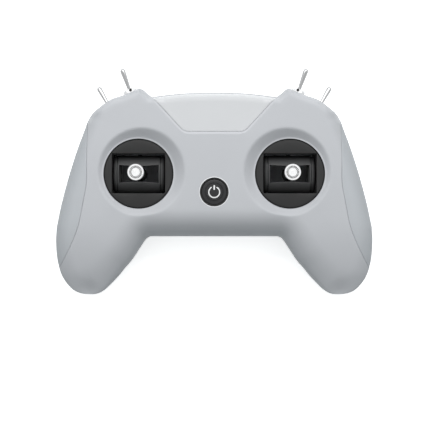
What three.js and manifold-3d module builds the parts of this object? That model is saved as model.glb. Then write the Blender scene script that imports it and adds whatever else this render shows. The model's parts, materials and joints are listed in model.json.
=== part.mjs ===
import * as THREE from 'three';
import { mergeVertices } from 'three/addons/utils/BufferGeometryUtils.js';
import Module from 'manifold-3d';

const wasm = await Module();
wasm.setup();

// A hand-held radio transmitter lying on its back. Millimetres, +X to the right of the face,
// +Y toward the switches, +Z out of the face. The origin is on the rest face of the back.

// Case
const caseWidth = 190;
const hornReach = 55.7;
const gripReach = 67.6;
const crownHeight = 42;
const partingHeight = 20;
const rimBand = 2;
const wall = 2.2;
const clearance = 0.3;
const overrun = 1;

// Curvature of the case
const faceFallAcross = 6;
const faceFallAlong = 5;
const faceFallStart = 30;
const gripLift = 5;
const gripLiftStart = 15;
const gripDrop = 9;
const gripDropStart = 20;
const topRoll = 5;
const sideRoll = 11;
const innerRoll = 16.5;
const backRoll = 14;

// Name panel
const panelTopHalf = 35.8;
const panelTopGap = 5.1;
const panelBottomHalf = 17.6;
const panelLength = 19.8;
const panelCorner = 3;
const panelStep = 0.9;
const panelThickness = 1.2;
const panelFloor = 1.3;
const panelLip = 2;
const panelEdgeHeight = 26;

// Stick dishes and gimbals
const gimbalPlaceShare = 0.4681;
const gimbalY = 4.4;
const discRadius = 20.2;
const discSink = 5.4;
const discGap = 0.4;
const lipWidth = 0.7;
const dishSlope = 0.8;
const bezelThickness = 3.5;
const flangeWidth = 2.3;
const flangeThickness = 1;
const windowWidth = 31.4;
const windowHeight = 23.2;
const drumRadius = 12;
const drumWall = 2;
const drumDrop = 2;
const drumReachDegrees = 102;
const saddleWidth = 26.4;
const saddleEndWall = 1.6;
const slotLength = 23;
const slotWidth = 10;
const framePlate = 1.6;
const frameWall = 2;
const frameSideGap = 1.8;
const frameDrumGap = 2.6;
const frameDepth = 8;
const pivotPinRadius = 1.6;
const springWidth = 2.2;
const springThickness = 1.5;
const sensorSide = 9;
const sensorThickness = 1;
const strapWidth = 5;
const strapThickness = 0.6;

// Sticks
const stickRise = 21.5;
const stickRadius = 1.9;
const hubRadius = 4.2;
const hubPinRadius = 1.2;
const collarRadius = 3.2;
const collarHeight = 8;
const capRadius = 4.6;
const capNeckRadius = 3;
const capHeight = 9;
const capGrip = 4;
const capGroove = 0.6;
const capGrooveInner = 2.7;
const capGrooveOuter = 3.6;
const capBoreDepth = 6;
const capEdge = 0.35;

// Power button
const powerY = -6.5;
const powerHoleRadius = 8.4;
const powerBezelWall = 0.6;
const powerCapDome = 0.7;
const powerCapFlatShare = 0.75;
const powerTravel = 0.7;
const powerStemRadius = 2;
const powerFlange = 1.8;
const powerFlangeThickness = 1.2;

// Toggle switches
const switchHeight = 27;
const innerSwitchLeanDegrees = 20;
const outerSwitchLeanDegrees = 30;
const outerSwitchTiltDegrees = 12;
const bushingRadius = 2.5;
const bushingProud = 2.6;
const bushingBore = 1.7;
const bushingFlare = 0.6;
const nutAcrossFlats = 7;
const nutThickness = 1.8;
const seatRadius = 4.5;
const seatReach = 12;
const seatWall = 1.2;
const switchBodyWidth = 8;
const switchBodyThickness = 7;
const switchBodyDepth = 9;
const switchNeck = 4;
const terminalLength = 2.5;
const terminalSpacing = 2.7;
const terminalSide = 1;
const leverReach = 15.5;
const leverTipRadius = 1.6;
const leverRootRadius = 0.85;
const leverPivotDepth = 1.6;

// Electronics
const boardHalfWidth = 17.5;
const boardLowGap = 3.7;
const boardHighGap = 13.5;
const boardUnderside = 16;
const boardThickness = 1.6;
const standoffX = 14.4;
const standoffEndGap = 6;
const standoffRadius = 2.2;
const chipSide = 7;
const chipHeight = 0.9;
const chipY = 12;
const radioWidth = 22;
const radioLength = 14;
const radioHeight = 3;
const radioEndGap = 4;
const antennaWidth = 44;
const antennaLength = 7;
const antennaThickness = 0.8;
const antennaEdgeGap = 9;
const buzzerRadius = 4.5;
const buzzerHeight = 4;
const buzzerX = 9;
const buzzerEndGap = 10;
const tactSide = 6;
const tactHeight = 3.5;
const tactStem = 1.4;
const tactStemRadius = 1.6;
const batteryWidth = 58;
const batteryHeight = 9;
const batteryButtonGap = 2.2;
const batteryPostGap = 5;
const batteryCorner = 4;
const socketWidth = 9;
const socketHeight = 3.2;
const socketLength = 7.3;
const socketMouthWidth = 8.2;
const socketMouthHeight = 2.4;
const socketMouthDepth = 5;
const tongueThickness = 0.7;
const tongueWidth = 6.6;
const socketReach = 1.8;
const tongueSetback = 0.9;

// Buttons in the back
const rearButtonX = 6;
const rearButtonEndGap = 6;
const rearButtonRadius = 2.6;
const rearButtonRecess = 0.6;
const rearButtonTravel = 0.5;
const rearButtonFlange = 1.2;

// Case screws
const screwShankRadius = 1.45;
const screwHeadRadius = 2.8;
const screwHeadHeight = 1.8;
const screwSeatHeight = 9;
const screwReach = 8;
const driveRadius = 1.3;
const driveDepth = 1;
const rearPostRadius = 5;
const frontPostRadius = 3.6;

// Numbers of sides and steps, which are counts and not sizes
const fineSides = 40;
const roundSides = 20;
const smallSides = 12;
const tinySides = 8;
const hexSides = 6;
const cornerSteps = 4;
const arcSteps = 12;
const seamSteps = 24;

// Outline of the case, in shares of half its width and of its reach up or down from the origin.
// Each span pairs a stretch of the outer edge with the stretch of the lower and inner edge across from it.
const topEdgeShare = 0.96;
const lowEdgeShare = -0.484;
const outlineSpanShares = [
  {
    steps: 4,
    edge: 'top',
    outer: [[0, topEdgeShare], [0.2, 0.949], [0.392, 0.912]],
    inner: [[0, lowEdgeShare], [0.2, lowEdgeShare]],
  },
  {
    steps: 2,
    edge: 'top',
    outer: [[0.392, 0.912], [0.415, 0.941], [0.447, 0.99]],
    inner: [[0.2, lowEdgeShare], [0.26, lowEdgeShare]],
  },
  {
    steps: 3,
    edge: 'top',
    outer: [[0.447, 0.99], [0.472, 1], [0.497, 0.977]],
    inner: [[0.26, lowEdgeShare], [0.3, lowEdgeShare]],
  },
  {
    steps: 1,
    edge: 'top',
    outer: [[0.497, 0.977], [0.581, 0.922]],
    inner: [[0.3, lowEdgeShare], [0.33, lowEdgeShare]],
  },
  {
    steps: 1,
    edge: 'top',
    outer: [[0.581, 0.922], [0.645, 0.886], [0.7, 0.826]],
    inner: [[0.33, lowEdgeShare], [0.36, lowEdgeShare]],
  },
  {
    steps: 3,
    edge: 'top',
    outer: [[0.7, 0.826], [0.76, 0.746], [0.789, 0.69]],
    inner: [[0.36, lowEdgeShare], [0.4, lowEdgeShare]],
  },
  {
    steps: 7,
    edge: 'side',
    outer: [
      [0.789, 0.69], [0.801, 0.642], [0.82, 0.548], [0.859, 0.37], [0.903, 0.142],
      [0.938, -0.053], [0.969, -0.225], [0.995, -0.4],
    ],
    inner: [[0.4, lowEdgeShare], [0.432, -0.507], [0.472, -0.587], [0.522, -0.694], [0.566, -0.765]],
  },
  {
    steps: 7,
    edge: 'side',
    outer: [
      [0.995, -0.4], [1, -0.53], [0.991, -0.694], [0.962, -0.837],
      [0.905, -0.944], [0.85, -0.988], [0.789, -1],
    ],
    inner: [[0.566, -0.765], [0.607, -0.837], [0.655, -0.908], [0.7, -0.966], [0.742, -0.994], [0.789, -1]],
  },
];

// Seam between the face and each grip side, in the same shares
const seamShares = [
  [0.797, 0.7], [0.79, 0.6], [0.787, 0.45], [0.788, 0.307], [0.788, 0.171], [0.787, 0.046], [0.792, -0.049],
  [0.808, -0.164], [0.824, -0.28], [0.84, -0.381], [0.867, -0.483], [0.901, -0.585], [0.937, -0.675],
  [0.972, -0.755], [0.995, -0.8],
];

// Places of the switches and of the case screws, in the same shares
const switchPlaceShares = { inner: [0.5241, 0.946], outer: [0.652, 0.782] };
const screwPlaceShares = { top: [0.295, 0.736], middle: [0.253, -0.355], grip: [0.779, -0.74] };

// Rows of the case surfaces, from the lower or inner edge to the outer edge
const skinRows = 9;
const liningRows = 7;

const halfWidth = caseWidth / 2;
const topEdge = topEdgeShare * hornReach;
const lowEdge = lowEdgeShare * gripReach;
const panelTop = topEdge - panelTopGap;
const panelBottom = panelTop - panelLength;
const gimbalX = gimbalPlaceShare * halfWidth;
const boardLow = lowEdge + boardLowGap;
const boardHigh = topEdge - boardHighGap;
const antennaY = topEdge - antennaEdgeGap - antennaLength / 2;
const rearButtonY = boardHigh - rearButtonEndGap;
const discHeight = crownHeight - discSink;
const pivotHeight = discHeight - drumDrop - drumRadius;
const rimTop = partingHeight + rimBand;
const rearTop = partingHeight - clearance;
const rimBottom = rearTop - rimBand;
const discTop = drumRadius + drumDrop;
const boardTop = boardUnderside + boardThickness;

// Solids

function solidFrom(geometry) {
  const bare = geometry.clone();
  bare.deleteAttribute('normal');
  bare.deleteAttribute('uv');
  const merged = mergeVertices(bare);
  const corners = merged.index.array;
  const triVerts = [];
  for (let i = 0; i < corners.length; i += 3) {
    const [a, b, c] = corners.slice(i, i + 3);
    if (a !== b && b !== c && c !== a) triVerts.push(a, b, c);
  }
  const vertProperties = merged.attributes.position.array;
  const mesh = new wasm.Mesh({ numProp: 3, vertProperties, triVerts: new Uint32Array(triVerts) });
  return new wasm.Manifold(mesh);
}

// A solid of revolution about Z, from [radius, height] points that run up the outside
function turned(profile, sides = roundSides) {
  const points = profile.map(([radius, height]) => new THREE.Vector2(radius, height));
  return solidFrom(new THREE.LatheGeometry(points, sides).rotateX(Math.PI / 2));
}

function rod(radius, low, high, sides = smallSides) {
  return turned([[0, low], [radius, low], [radius, high], [0, high]], sides);
}

function ring(inner, outer, low, high, sides = smallSides) {
  return turned([[inner, low], [outer, low], [outer, high], [inner, high], [inner, low]], sides);
}

function block([lowX, highX], [lowY, highY], [lowZ, highZ]) {
  const geometry = new THREE.BoxGeometry(highX - lowX, highY - lowY, highZ - lowZ);
  return solidFrom(geometry.translate((lowX + highX) / 2, (lowY + highY) / 2, (lowZ + highZ) / 2));
}

function prism(outline, low, high, steps = cornerSteps) {
  const shape = outline instanceof THREE.Shape ? outline : new THREE.Shape(outline);
  const options = { depth: high - low, bevelEnabled: false, curveSegments: steps };
  return solidFrom(new THREE.ExtrudeGeometry(shape, options).translate(0, 0, low));
}

// Stands a solid that was made along Z on the X axis, or on the Y axis
const alongX = (solid) => solid.rotate([0, 90, 0]);
const alongY = (solid) => solid.rotate([-90, 0, 0]);

const mirrorX = (solid) => solid.mirror([1, 0, 0]);
const onBothSides = (solid) => solid.add(mirrorX(solid));

// Case outline

const outlinePoint = ([x, y]) => new THREE.Vector2(x * halfWidth, y * (y > 0 ? hornReach : gripReach));

function curvePoints(shares, steps) {
  return new THREE.SplineCurve(shares.map(outlinePoint)).getPoints(steps);
}

// Stations across the case from the left grip's tip to the right one's, each with its two ends on the outline
function outlineStations(stride) {
  const half = [];
  for (const span of outlineSpanShares) {
    const steps = Math.max(1, Math.ceil(span.steps / stride));
    const outer = curvePoints(span.outer, steps);
    const inner = curvePoints(span.inner, steps);
    for (let i = half.length ? 1 : 0; i <= steps; i += 1) half.push({ outer: outer[i], inner: inner[i] });
  }
  const flip = (point) => new THREE.Vector2(-point.x, point.y);
  const mirrored = half.slice(1).map(({ outer, inner }) => ({ outer: flip(outer), inner: flip(inner) }));
  return [...mirrored.reverse(), ...half];
}

// The outline's edges, as straight runs by the kind of roll they have
function outlineEdges() {
  const edges = { top: [], side: [], inner: [] };
  const addRuns = (kind, points) => {
    for (let i = 1; i < points.length; i += 1) {
      for (const sign of [1, -1]) {
        const run = [points[i - 1], points[i]];
        edges[kind].push(run.map((point) => new THREE.Vector2(sign * point.x, point.y)));
      }
    }
  };
  for (const span of outlineSpanShares) {
    addRuns(span.edge, curvePoints(span.outer, span.steps));
    addRuns('inner', curvePoints(span.inner, span.steps));
  }
  return edges;
}

const caseEdges = outlineEdges();

function distanceToRuns(x, y, runs) {
  let nearest = Infinity;
  for (const [from, to] of runs) {
    const runX = to.x - from.x;
    const runY = to.y - from.y;
    const along = ((x - from.x) * runX + (y - from.y) * runY) / (runX * runX + runY * runY);
    const share = Math.min(1, Math.max(0, along));
    nearest = Math.min(nearest, Math.hypot(x - from.x - share * runX, y - from.y - share * runY));
  }
  return nearest;
}

function rollShare(distance, radius) {
  if (distance >= radius) return 1;
  return Math.sqrt(Math.max(0, 1 - (1 - distance / radius) ** 2));
}

// How much of its full height a surface has reached at a point: 0 on its edge, 1 past the roll
function fullness(x, y, inset, rolls) {
  let share = 1;
  for (const kind of ['top', 'side', 'inner']) {
    const distance = Math.max(0, distanceToRuns(x, y, caseEdges[kind]) - inset);
    share *= rollShare(distance, Math.max(rolls[kind] - inset, clearance));
  }
  return share;
}

const frontRolls = { top: topRoll, side: sideRoll, inner: innerRoll };
const rearRolls = { top: backRoll, side: backRoll, inner: backRoll };

function faceHeight(x, y) {
  const along = Math.max(0, faceFallStart - y) / (faceFallStart + gripReach);
  const drop = Math.max(0, -y - gripDropStart) / (gripReach - gripDropStart);
  const across = faceFallAcross * (x / halfWidth) ** 2;
  return crownHeight - across - faceFallAlong * along ** 2 - gripDrop * drop ** 2;
}

function backHeight(y) {
  return gripLift * (Math.max(0, -y - gripLiftStart) / (gripReach - gripLiftStart)) ** 2;
}

function frontHeight(x, y, inset) {
  return rimTop + (faceHeight(x, y) - inset - rimTop) * fullness(x, y, inset, frontRolls);
}

function rearHeight(x, y, inset) {
  return rimBottom - (rimBottom - backHeight(y) - inset) * fullness(x, y, inset, rearRolls);
}

// Moves a closed loop of points toward its inside
function insetLoop(points, distance) {
  return points.map((point, i) => {
    const before = points[(i + points.length - 1) % points.length];
    const after = points[(i + 1) % points.length];
    const along = after.clone().sub(before).normalize();
    return new THREE.Vector2(point.x - along.y * distance, point.y + along.x * distance);
  });
}

function insetStations(stations, distance) {
  const last = stations.length - 1;
  const lower = stations.map((station) => station.inner);
  const upper = stations.slice(1, last).map((station) => station.outer).reverse();
  const moved = insetLoop([...lower, ...upper], distance);
  return stations.map((_, i) => {
    const inner = moved[i];
    const outer = i === 0 || i === last ? inner : moved[2 * last - i];
    return { inner, outer };
  });
}

// A solid between two surfaces over the case outline drawn in by an inset
function caseSolid(inset, rows, stride, topAt, bottomAt) {
  const stations = insetStations(outlineStations(stride), inset);
  const positions = [];
  const index = [];
  const layer = stations.length * (rows + 1);
  for (const heightAt of [topAt, bottomAt]) {
    for (const { inner, outer } of stations) {
      for (let j = 0; j <= rows; j += 1) {
        const point = inner.clone().lerp(outer, (1 - Math.cos((Math.PI * j) / rows)) / 2);
        positions.push(point.x, point.y, heightAt(point.x, point.y));
      }
    }
  }
  const corner = (i, j, below) => i * (rows + 1) + j + (below ? layer : 0);
  const quad = (a, b, c, d) => index.push(a, b, c, a, c, d);
  for (let i = 1; i < stations.length; i += 1) {
    for (let j = 1; j <= rows; j += 1) {
      quad(corner(i - 1, j - 1), corner(i, j - 1), corner(i, j), corner(i - 1, j));
      quad(corner(i - 1, j - 1, true), corner(i - 1, j, true), corner(i, j, true), corner(i, j - 1, true));
    }
    quad(corner(i - 1, 0, true), corner(i, 0, true), corner(i, 0), corner(i - 1, 0));
    quad(corner(i, rows, true), corner(i - 1, rows, true), corner(i - 1, rows), corner(i, rows));
  }
  const geometry = new THREE.BufferGeometry();
  geometry.setAttribute('position', new THREE.Float32BufferAttribute(positions, 3));
  geometry.setIndex(index);
  return solidFrom(geometry);
}

function frontSolid(inset, rows, stride, low) {
  return caseSolid(inset, rows, stride, (x, y) => frontHeight(x, y, inset), () => low);
}

function rearSolid(inset, rows, stride, high) {
  return caseSolid(inset, rows, stride, () => high, (x, y) => rearHeight(x, y, inset));
}

// Name panel

// The panel's trapezoid, widened by a margin and run out past the top of the case
function panelRegion(margin, low) {
  const rise = (panelTop - panelBottom) / (panelTopHalf - panelBottomHalf);
  const bottom = panelBottom - margin;
  const sideShift = margin * (Math.hypot(1, rise) / rise);
  const bottomHalf = panelBottomHalf + sideShift - margin / rise;
  const top = hornReach + margin + overrun;
  const topHalf = bottomHalf + (top - bottom) / rise;
  const cornerX = panelCorner / Math.hypot(1, rise);
  const cornerY = cornerX * rise;
  const shape = new THREE.Shape();
  shape.moveTo(-topHalf, top);
  shape.lineTo(-bottomHalf - cornerX, bottom + cornerY);
  shape.quadraticCurveTo(-bottomHalf, bottom, -bottomHalf + panelCorner, bottom);
  shape.lineTo(bottomHalf - panelCorner, bottom);
  shape.quadraticCurveTo(bottomHalf, bottom, bottomHalf + cornerX, bottom + cornerY);
  shape.lineTo(topHalf, top);
  return prism(shape, low, crownHeight + overrun);
}

const panelPocketInset = panelStep + panelThickness + clearance;

function namePanel() {
  const upper = frontSolid(panelStep, skinRows, 1, partingHeight);
  const lower = frontSolid(panelStep + panelThickness, liningRows, 2, partingHeight);
  return panelRegion(-clearance, panelEdgeHeight + clearance).intersect(upper.subtract(lower));
}

function panelPocket() {
  return panelRegion(0, panelEdgeHeight).subtract(frontSolid(panelPocketInset, liningRows, 2, partingHeight));
}

function panelBacking() {
  const backing = frontSolid(panelPocketInset + panelFloor, liningRows, 2, partingHeight);
  return panelRegion(panelLip, panelEdgeHeight - panelLip).subtract(backing);
}

// Stick dishes

function dishCone(lower, floor) {
  const floorRadius = discRadius + discGap + lipWidth;
  const top = crownHeight + overrun;
  const radiusAt = (height) => floorRadius + (height - discHeight + lower) / dishSlope;
  return turned([[0, floor], [radiusAt(floor), floor], [radiusAt(top), top], [0, top]], fineSides);
}

const atGimbals = (solid) => onBothSides(solid.translate([gimbalX, gimbalY, 0]));

function dishCuts() {
  const hole = rod(discRadius + discGap, discHeight - wall - overrun, crownHeight, fineSides);
  return atGimbals(dishCone(0, discHeight).add(hole));
}

function dishWalls() {
  return atGimbals(dishCone(wall * Math.hypot(1, dishSlope), discHeight - wall));
}

// Toggle switches: a switch frame has Z along the lever, X along its hinge and Y toward the back of the case

const innerSwitch = {
  place: 'inner',
  leanDegrees: innerSwitchLeanDegrees,
  tiltDegrees: 0,
};
const outerSwitch = {
  place: 'outer',
  leanDegrees: outerSwitchLeanDegrees,
  tiltDegrees: outerSwitchTiltDegrees,
};
const switches = [
  { name: 'left_outer', side: -1, ...outerSwitch },
  { name: 'left_inner', side: -1, ...innerSwitch },
  { name: 'right_inner', side: 1, ...innerSwitch },
  { name: 'right_outer', side: 1, ...outerSwitch },
];

function switchMatrix({ side, place, leanDegrees }) {
  const { x, y } = outlinePoint(switchPlaceShares[place]);
  const angle = THREE.MathUtils.degToRad(side * leanDegrees);
  const lever = new THREE.Vector3(Math.sin(angle), Math.cos(angle), 0);
  const hinge = new THREE.Vector3(Math.cos(angle), -Math.sin(angle), 0);
  const matrix = new THREE.Matrix4().makeBasis(hinge, hinge.clone().cross(lever).negate(), lever);
  return matrix.setPosition(side * x, y, switchHeight);
}

function switchCut(place) {
  const hole = rod(bushingRadius + clearance, -switchNeck - overrun, overrun);
  const seat = rod(seatRadius, 0, seatReach, roundSides);
  const halfBody = switchBodyWidth / 2 + clearance;
  const halfThickness = switchBodyThickness / 2 + clearance;
  const pocketFloor = -switchNeck - switchBodyDepth - terminalLength;
  const pocketHeights = [pocketFloor, clearance - switchNeck];
  const pocket = block([-halfBody, halfBody], [-halfThickness, halfThickness], pocketHeights);
  return hole.add(seat).add(pocket).transform(switchMatrix(place).elements);
}

// The thick wall that a switch is clamped to, where the case is hollow behind its seat
function switchBacking(place) {
  const backing = rod(seatRadius + seatWall, clearance - switchNeck, seatReach, roundSides);
  return backing.transform(switchMatrix(place).elements);
}

function switchBody() {
  const halfBody = switchBodyWidth / 2;
  const halfThickness = switchBodyThickness / 2;
  const bottom = -switchNeck - switchBodyDepth;
  let solid = block([-halfBody, halfBody], [-halfThickness, halfThickness], [bottom, -switchNeck]);
  solid = solid.add(rod(bushingRadius, -switchNeck - overrun, bushingProud));
  const terminalHeights = [bottom - terminalLength, bottom + terminalSide];
  const half = terminalSide / 2;
  for (const x of [-terminalSpacing, 0, terminalSpacing]) {
    solid = solid.add(block([x - half, x + half], [-half, half], terminalHeights));
  }
  const floor = -leverPivotDepth - bushingBore;
  const mouth = bushingBore + bushingFlare;
  const throat = [[0, floor], [bushingBore, floor], [bushingBore, -leverPivotDepth], [mouth, bushingProud]];
  const opening = [[mouth, bushingProud + overrun], [0, bushingProud + overrun]];
  return solid.subtract(turned([...throat, ...opening], smallSides));
}

function switchNut() {
  const hexRadius = nutAcrossFlats / 2 / Math.cos(Math.PI / hexSides);
  const nut = rod(hexRadius, clearance, clearance + nutThickness, hexSides);
  return nut.subtract(rod(bushingRadius + clearance / 2, -overrun, nutThickness + overrun));
}

function switchLever(tiltDegrees) {
  const ballRadius = bushingBore - clearance;
  const tipCentre = leverReach - leverTipRadius;
  const profile = [[0, -ballRadius]];
  for (let i = 1; i <= cornerSteps; i += 1) {
    const angle = (Math.PI / 2) * (i / cornerSteps);
    profile.push([ballRadius * Math.sin(angle), -ballRadius * Math.cos(angle)]);
  }
  profile.push([leverRootRadius, ballRadius], [leverTipRadius, tipCentre + leverPivotDepth]);
  for (let i = 1; i < cornerSteps; i += 1) {
    const angle = (Math.PI / 2) * (i / cornerSteps);
    const height = tipCentre + leverPivotDepth + leverTipRadius * Math.sin(angle);
    profile.push([leverTipRadius * Math.cos(angle), height]);
  }
  profile.push([0, leverReach + leverPivotDepth]);
  return turned(profile, tinySides).rotate([-tiltDegrees, 0, 0]).translate([0, 0, -leverPivotDepth]);
}

// Power button

const powerCapRadius = powerHoleRadius - powerBezelWall - 2 * clearance;
const powerFace = faceHeight(0, powerY);
const powerFlangeTop = powerFace - wall - clearance;

const powerFlangeRadius = powerHoleRadius + powerFlange;

function powerHole() {
  const hole = rod(powerHoleRadius, partingHeight, crownHeight + overrun, roundSides);
  const seat = rod(powerFlangeRadius + clearance, partingHeight, powerFace - wall, roundSides);
  return hole.add(seat).translate([0, powerY, 0]);
}

function powerBezel() {
  const tubeOuter = powerHoleRadius - clearance;
  const tubeInner = powerCapRadius + clearance;
  const bottom = powerFlangeTop - powerFlangeThickness;
  const profile = [
    [tubeInner, bottom], [powerFlangeRadius, bottom], [powerFlangeRadius, powerFlangeTop],
    [tubeOuter, powerFlangeTop], [tubeOuter, powerFace], [tubeInner, powerFace], [tubeInner, bottom],
  ];
  return turned(profile, roundSides).translate([0, powerY, 0]);
}

function powerCap() {
  const rim = powerFace - powerCapDome;
  const bottom = powerFlangeTop - powerFlangeThickness - clearance;
  const skirt = powerCapRadius + powerFlange;
  const stemEnd = boardTop + clearance + tactHeight + tactStem + powerTravel + clearance;
  const profile = [
    [0, stemEnd], [powerStemRadius, stemEnd], [powerStemRadius, bottom - powerFlangeThickness],
    [skirt, bottom - powerFlangeThickness], [skirt, bottom], [powerCapRadius, bottom], [powerCapRadius, rim],
    [powerCapRadius * powerCapFlatShare, powerFace - powerCapDome / 2], [0, powerFace - powerCapDome / 4],
  ];
  return turned(profile, roundSides).translate([0, powerY, 0]);
}

// Screws and their posts

const screwList = Object.entries(screwPlaceShares).flatMap(([name, shares]) => {
  const { x, y } = outlinePoint(shares);
  return [{ name: `left_${name}_case_screw`, x: -x, y }, { name: `right_${name}_case_screw`, x, y }];
});

function caseScrew() {
  const headTop = screwSeatHeight;
  const head = rod(screwHeadRadius, headTop - screwHeadHeight, headTop);
  const shank = rod(screwShankRadius, headTop - screwHeadHeight / 2, partingHeight + screwReach, tinySides);
  const headBottom = headTop - screwHeadHeight;
  const drive = rod(driveRadius, headBottom - overrun, headBottom + driveDepth, hexSides);
  return head.add(shank).subtract(drive);
}

function screwBores() {
  const end = partingHeight + screwReach + clearance;
  const shank = rod(screwShankRadius + clearance, -overrun, end, tinySides);
  const head = rod(screwHeadRadius + clearance, -overrun, screwSeatHeight + clearance);
  return shank.add(head);
}

function atScrews(solid) {
  return screwList.map(({ x, y }) => solid.translate([x, y, 0])).reduce((all, one) => all.add(one));
}

// A flat seat for the antenna board under the name panel's backing

const antennaCorner = new THREE.Vector2(antennaWidth / 2, antennaY + antennaLength / 2);
const antennaTop = frontHeight(antennaCorner.x, antennaCorner.y, panelPocketInset + panelFloor) - clearance;

function antennaSeat() {
  const gap = 2 * clearance;
  return boardBlock(antennaWidth + gap, antennaLength + gap, antennaY, partingHeight, antennaTop + clearance);
}

// Case halves

function sideRegion(margin) {
  const seam = new THREE.SplineCurve(seamShares.map(outlinePoint)).getPoints(seamSteps);
  const outline = seam.map((point) => new THREE.Vector2(point.x - margin, point.y));
  const outside = caseWidth;
  const last = outline[outline.length - 1];
  outline.push(new THREE.Vector2(outside, last.y), new THREE.Vector2(outside, outline[0].y));
  return prism(outline, partingHeight - overrun, crownHeight + overrun);
}

function frontShell() {
  const lining = frontSolid(wall, liningRows, 2, partingHeight - overrun);
  let hollow = lining.subtract(dishWalls()).subtract(panelBacking());
  for (const place of switches) hollow = hollow.subtract(switchBacking(place));
  const posts = atScrews(rod(frontPostRadius, partingHeight, crownHeight));
  const outside = frontSolid(0, skinRows, 1, partingHeight);
  let shell = outside.subtract(hollow).add(posts.intersect(outside)).subtract(atScrews(screwBores()));
  shell = shell.subtract(dishCuts()).subtract(panelPocket());
  shell = shell.subtract(powerHole()).subtract(antennaSeat());
  for (const place of switches) shell = shell.subtract(switchCut(place));
  return shell;
}

// A hole for a back button, with a flat seat around it inside
function rearButtonHole() {
  const hole = rod(rearButtonRadius + clearance, -overrun, wall + overrun);
  const seat = rod(rearButtonRadius + rearButtonFlange + clearance, wall, rearTop);
  return hole.add(seat).translate([rearButtonX, rearButtonY, 0]);
}

function rearCover() {
  const outside = rearSolid(0, skinRows, 1, rearTop);
  const lining = rearSolid(wall, liningRows, 2, rearTop + overrun);
  const posts = atScrews(rod(rearPostRadius, 0, rearTop));
  let standoffs = rod(standoffRadius, wall / 2, boardUnderside - clearance, tinySides);
  standoffs = [boardLow + standoffEndGap, boardHigh - standoffEndGap]
    .map((y) => onBothSides(standoffs.translate([standoffX, y, 0])))
    .reduce((all, one) => all.add(one));
  let cover = outside.subtract(lining).add(posts.add(standoffs).intersect(outside));
  cover = cover.subtract(atScrews(screwBores()));
  cover = cover.subtract(onBothSides(rearButtonHole()));
  const socketHalf = socketWidth / 2 + clearance;
  const socketBottom = boardUnderside - clearance - socketHeight;
  const heights = [socketBottom - clearance, boardUnderside];
  const along = [boardLow - socketLength, boardLow + socketLength];
  return cover.subtract(block([-socketHalf, socketHalf], along, heights));
}

// Gimbal pieces, about the pivot at their own origin

function windowCut() {
  const halfX = windowWidth / 2;
  const halfY = windowHeight / 2;
  return block([-halfX, halfX], [-halfY, halfY], [0, discTop + overrun]);
}

const bezelBottom = discTop - bezelThickness;

function gimbalBezel() {
  const disc = rod(discRadius, bezelBottom, discTop, fineSides);
  const flange = rod(discRadius + flangeWidth, bezelBottom, bezelBottom + flangeThickness, fineSides);
  return disc.add(flange).subtract(windowCut());
}

const frameInnerX = saddleWidth / 2 + frameSideGap;
const frameInnerY = drumRadius + frameDrumGap;
const frameOuterX = frameInnerX + frameWall;
const frameOuterY = frameInnerY + frameWall;

function gimbalFrame() {
  const top = bezelBottom - clearance;
  const plate = rod(discRadius + flangeWidth, top - framePlate, top, fineSides);
  const wallHeights = [-frameDepth, top - framePlate / 2];
  const walls = block([-frameOuterX, frameOuterX], [-frameOuterY, frameOuterY], wallHeights);
  const insideHeights = [-frameDepth - overrun, top - framePlate];
  const inside = block([-frameInnerX, frameInnerX], [-frameInnerY, frameInnerY], insideHeights);
  const boreEnd = frameOuterX + overrun;
  const bore = alongX(rod(pivotPinRadius + clearance, -boreEnd, boreEnd, tinySides));
  return plate.add(walls).subtract(inside).subtract(windowCut()).subtract(bore);
}

// Half a drum as an outline in the plane across its axis, closed on itself when inner is zero
function drumOutline(outer, inner) {
  const reach = THREE.MathUtils.degToRad(drumReachDegrees);
  const shape = new THREE.Shape();
  shape.absarc(0, 0, outer, -reach, reach, false);
  if (inner > 0) shape.absarc(0, 0, inner, reach, -reach, true);
  return shape;
}

// Extruded outlines run along X with their own X turned up
function drumPrism(outline, low, high) {
  return prism(outline, low, high, arcSteps).rotate([0, 0, 90]).rotate([90, 0, 0]).rotate([0, 0, 90]);
}

function gimbalSaddle() {
  const half = saddleWidth / 2;
  let saddle = drumPrism(drumOutline(drumRadius, drumRadius - drumWall), -half, half);
  saddle = saddle.add(drumPrism(drumOutline(drumRadius, 0), half - saddleEndWall, half));
  saddle = saddle.add(drumPrism(drumOutline(drumRadius, 0), -half, saddleEndWall - half));
  const pinEnd = frameOuterX + clearance + springWidth;
  saddle = saddle.add(alongX(rod(pivotPinRadius, half - saddleEndWall / 2, frameOuterX, tinySides)));
  saddle = saddle.add(alongX(rod(pivotPinRadius, -pinEnd, saddleEndWall / 2 - half, tinySides)));
  const slotX = slotLength / 2;
  const slotY = slotWidth / 2;
  saddle = saddle.subtract(block([-slotX, slotX], [-slotY, slotY], [drumRadius / 2, drumRadius + overrun]));
  const hubBore = rod(hubPinRadius + clearance, -drumRadius - overrun, drumRadius + overrun, tinySides);
  return saddle.subtract(alongY(hubBore));
}

function pitchSpring() {
  const inner = pivotPinRadius + clearance;
  const start = frameOuterX + clearance;
  return alongX(ring(inner, inner + springThickness, -start - springWidth, -start));
}

function rollSpring() {
  const inner = hubPinRadius + clearance;
  const start = hubRadius + clearance;
  return alongY(ring(inner, inner + springThickness, start, start + springWidth));
}

function pitchSensor() {
  const start = frameOuterX + clearance;
  const half = sensorSide / 2;
  return block([start, start + sensorThickness], [-half, half], [-half, half]);
}

function rollSensor() {
  const start = drumRadius + clearance;
  const half = sensorSide / 2;
  return block([-half, half], [-start - sensorThickness, -start], [-half, half]);
}

// A flat spring whose foot seats on the frame's wall and whose face rubs on the drum
function frictionStrap() {
  const half = strapWidth / 2;
  const face = drumRadius + clearance;
  const foot = frameInnerY - clearance;
  const leaf = block([-half, half], [face, face + strapThickness], [-frameDepth, 0]);
  const base = block([-half, half], [face, foot], [-frameDepth, -frameDepth + 2 * strapThickness]);
  return leaf.add(base);
}

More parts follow.
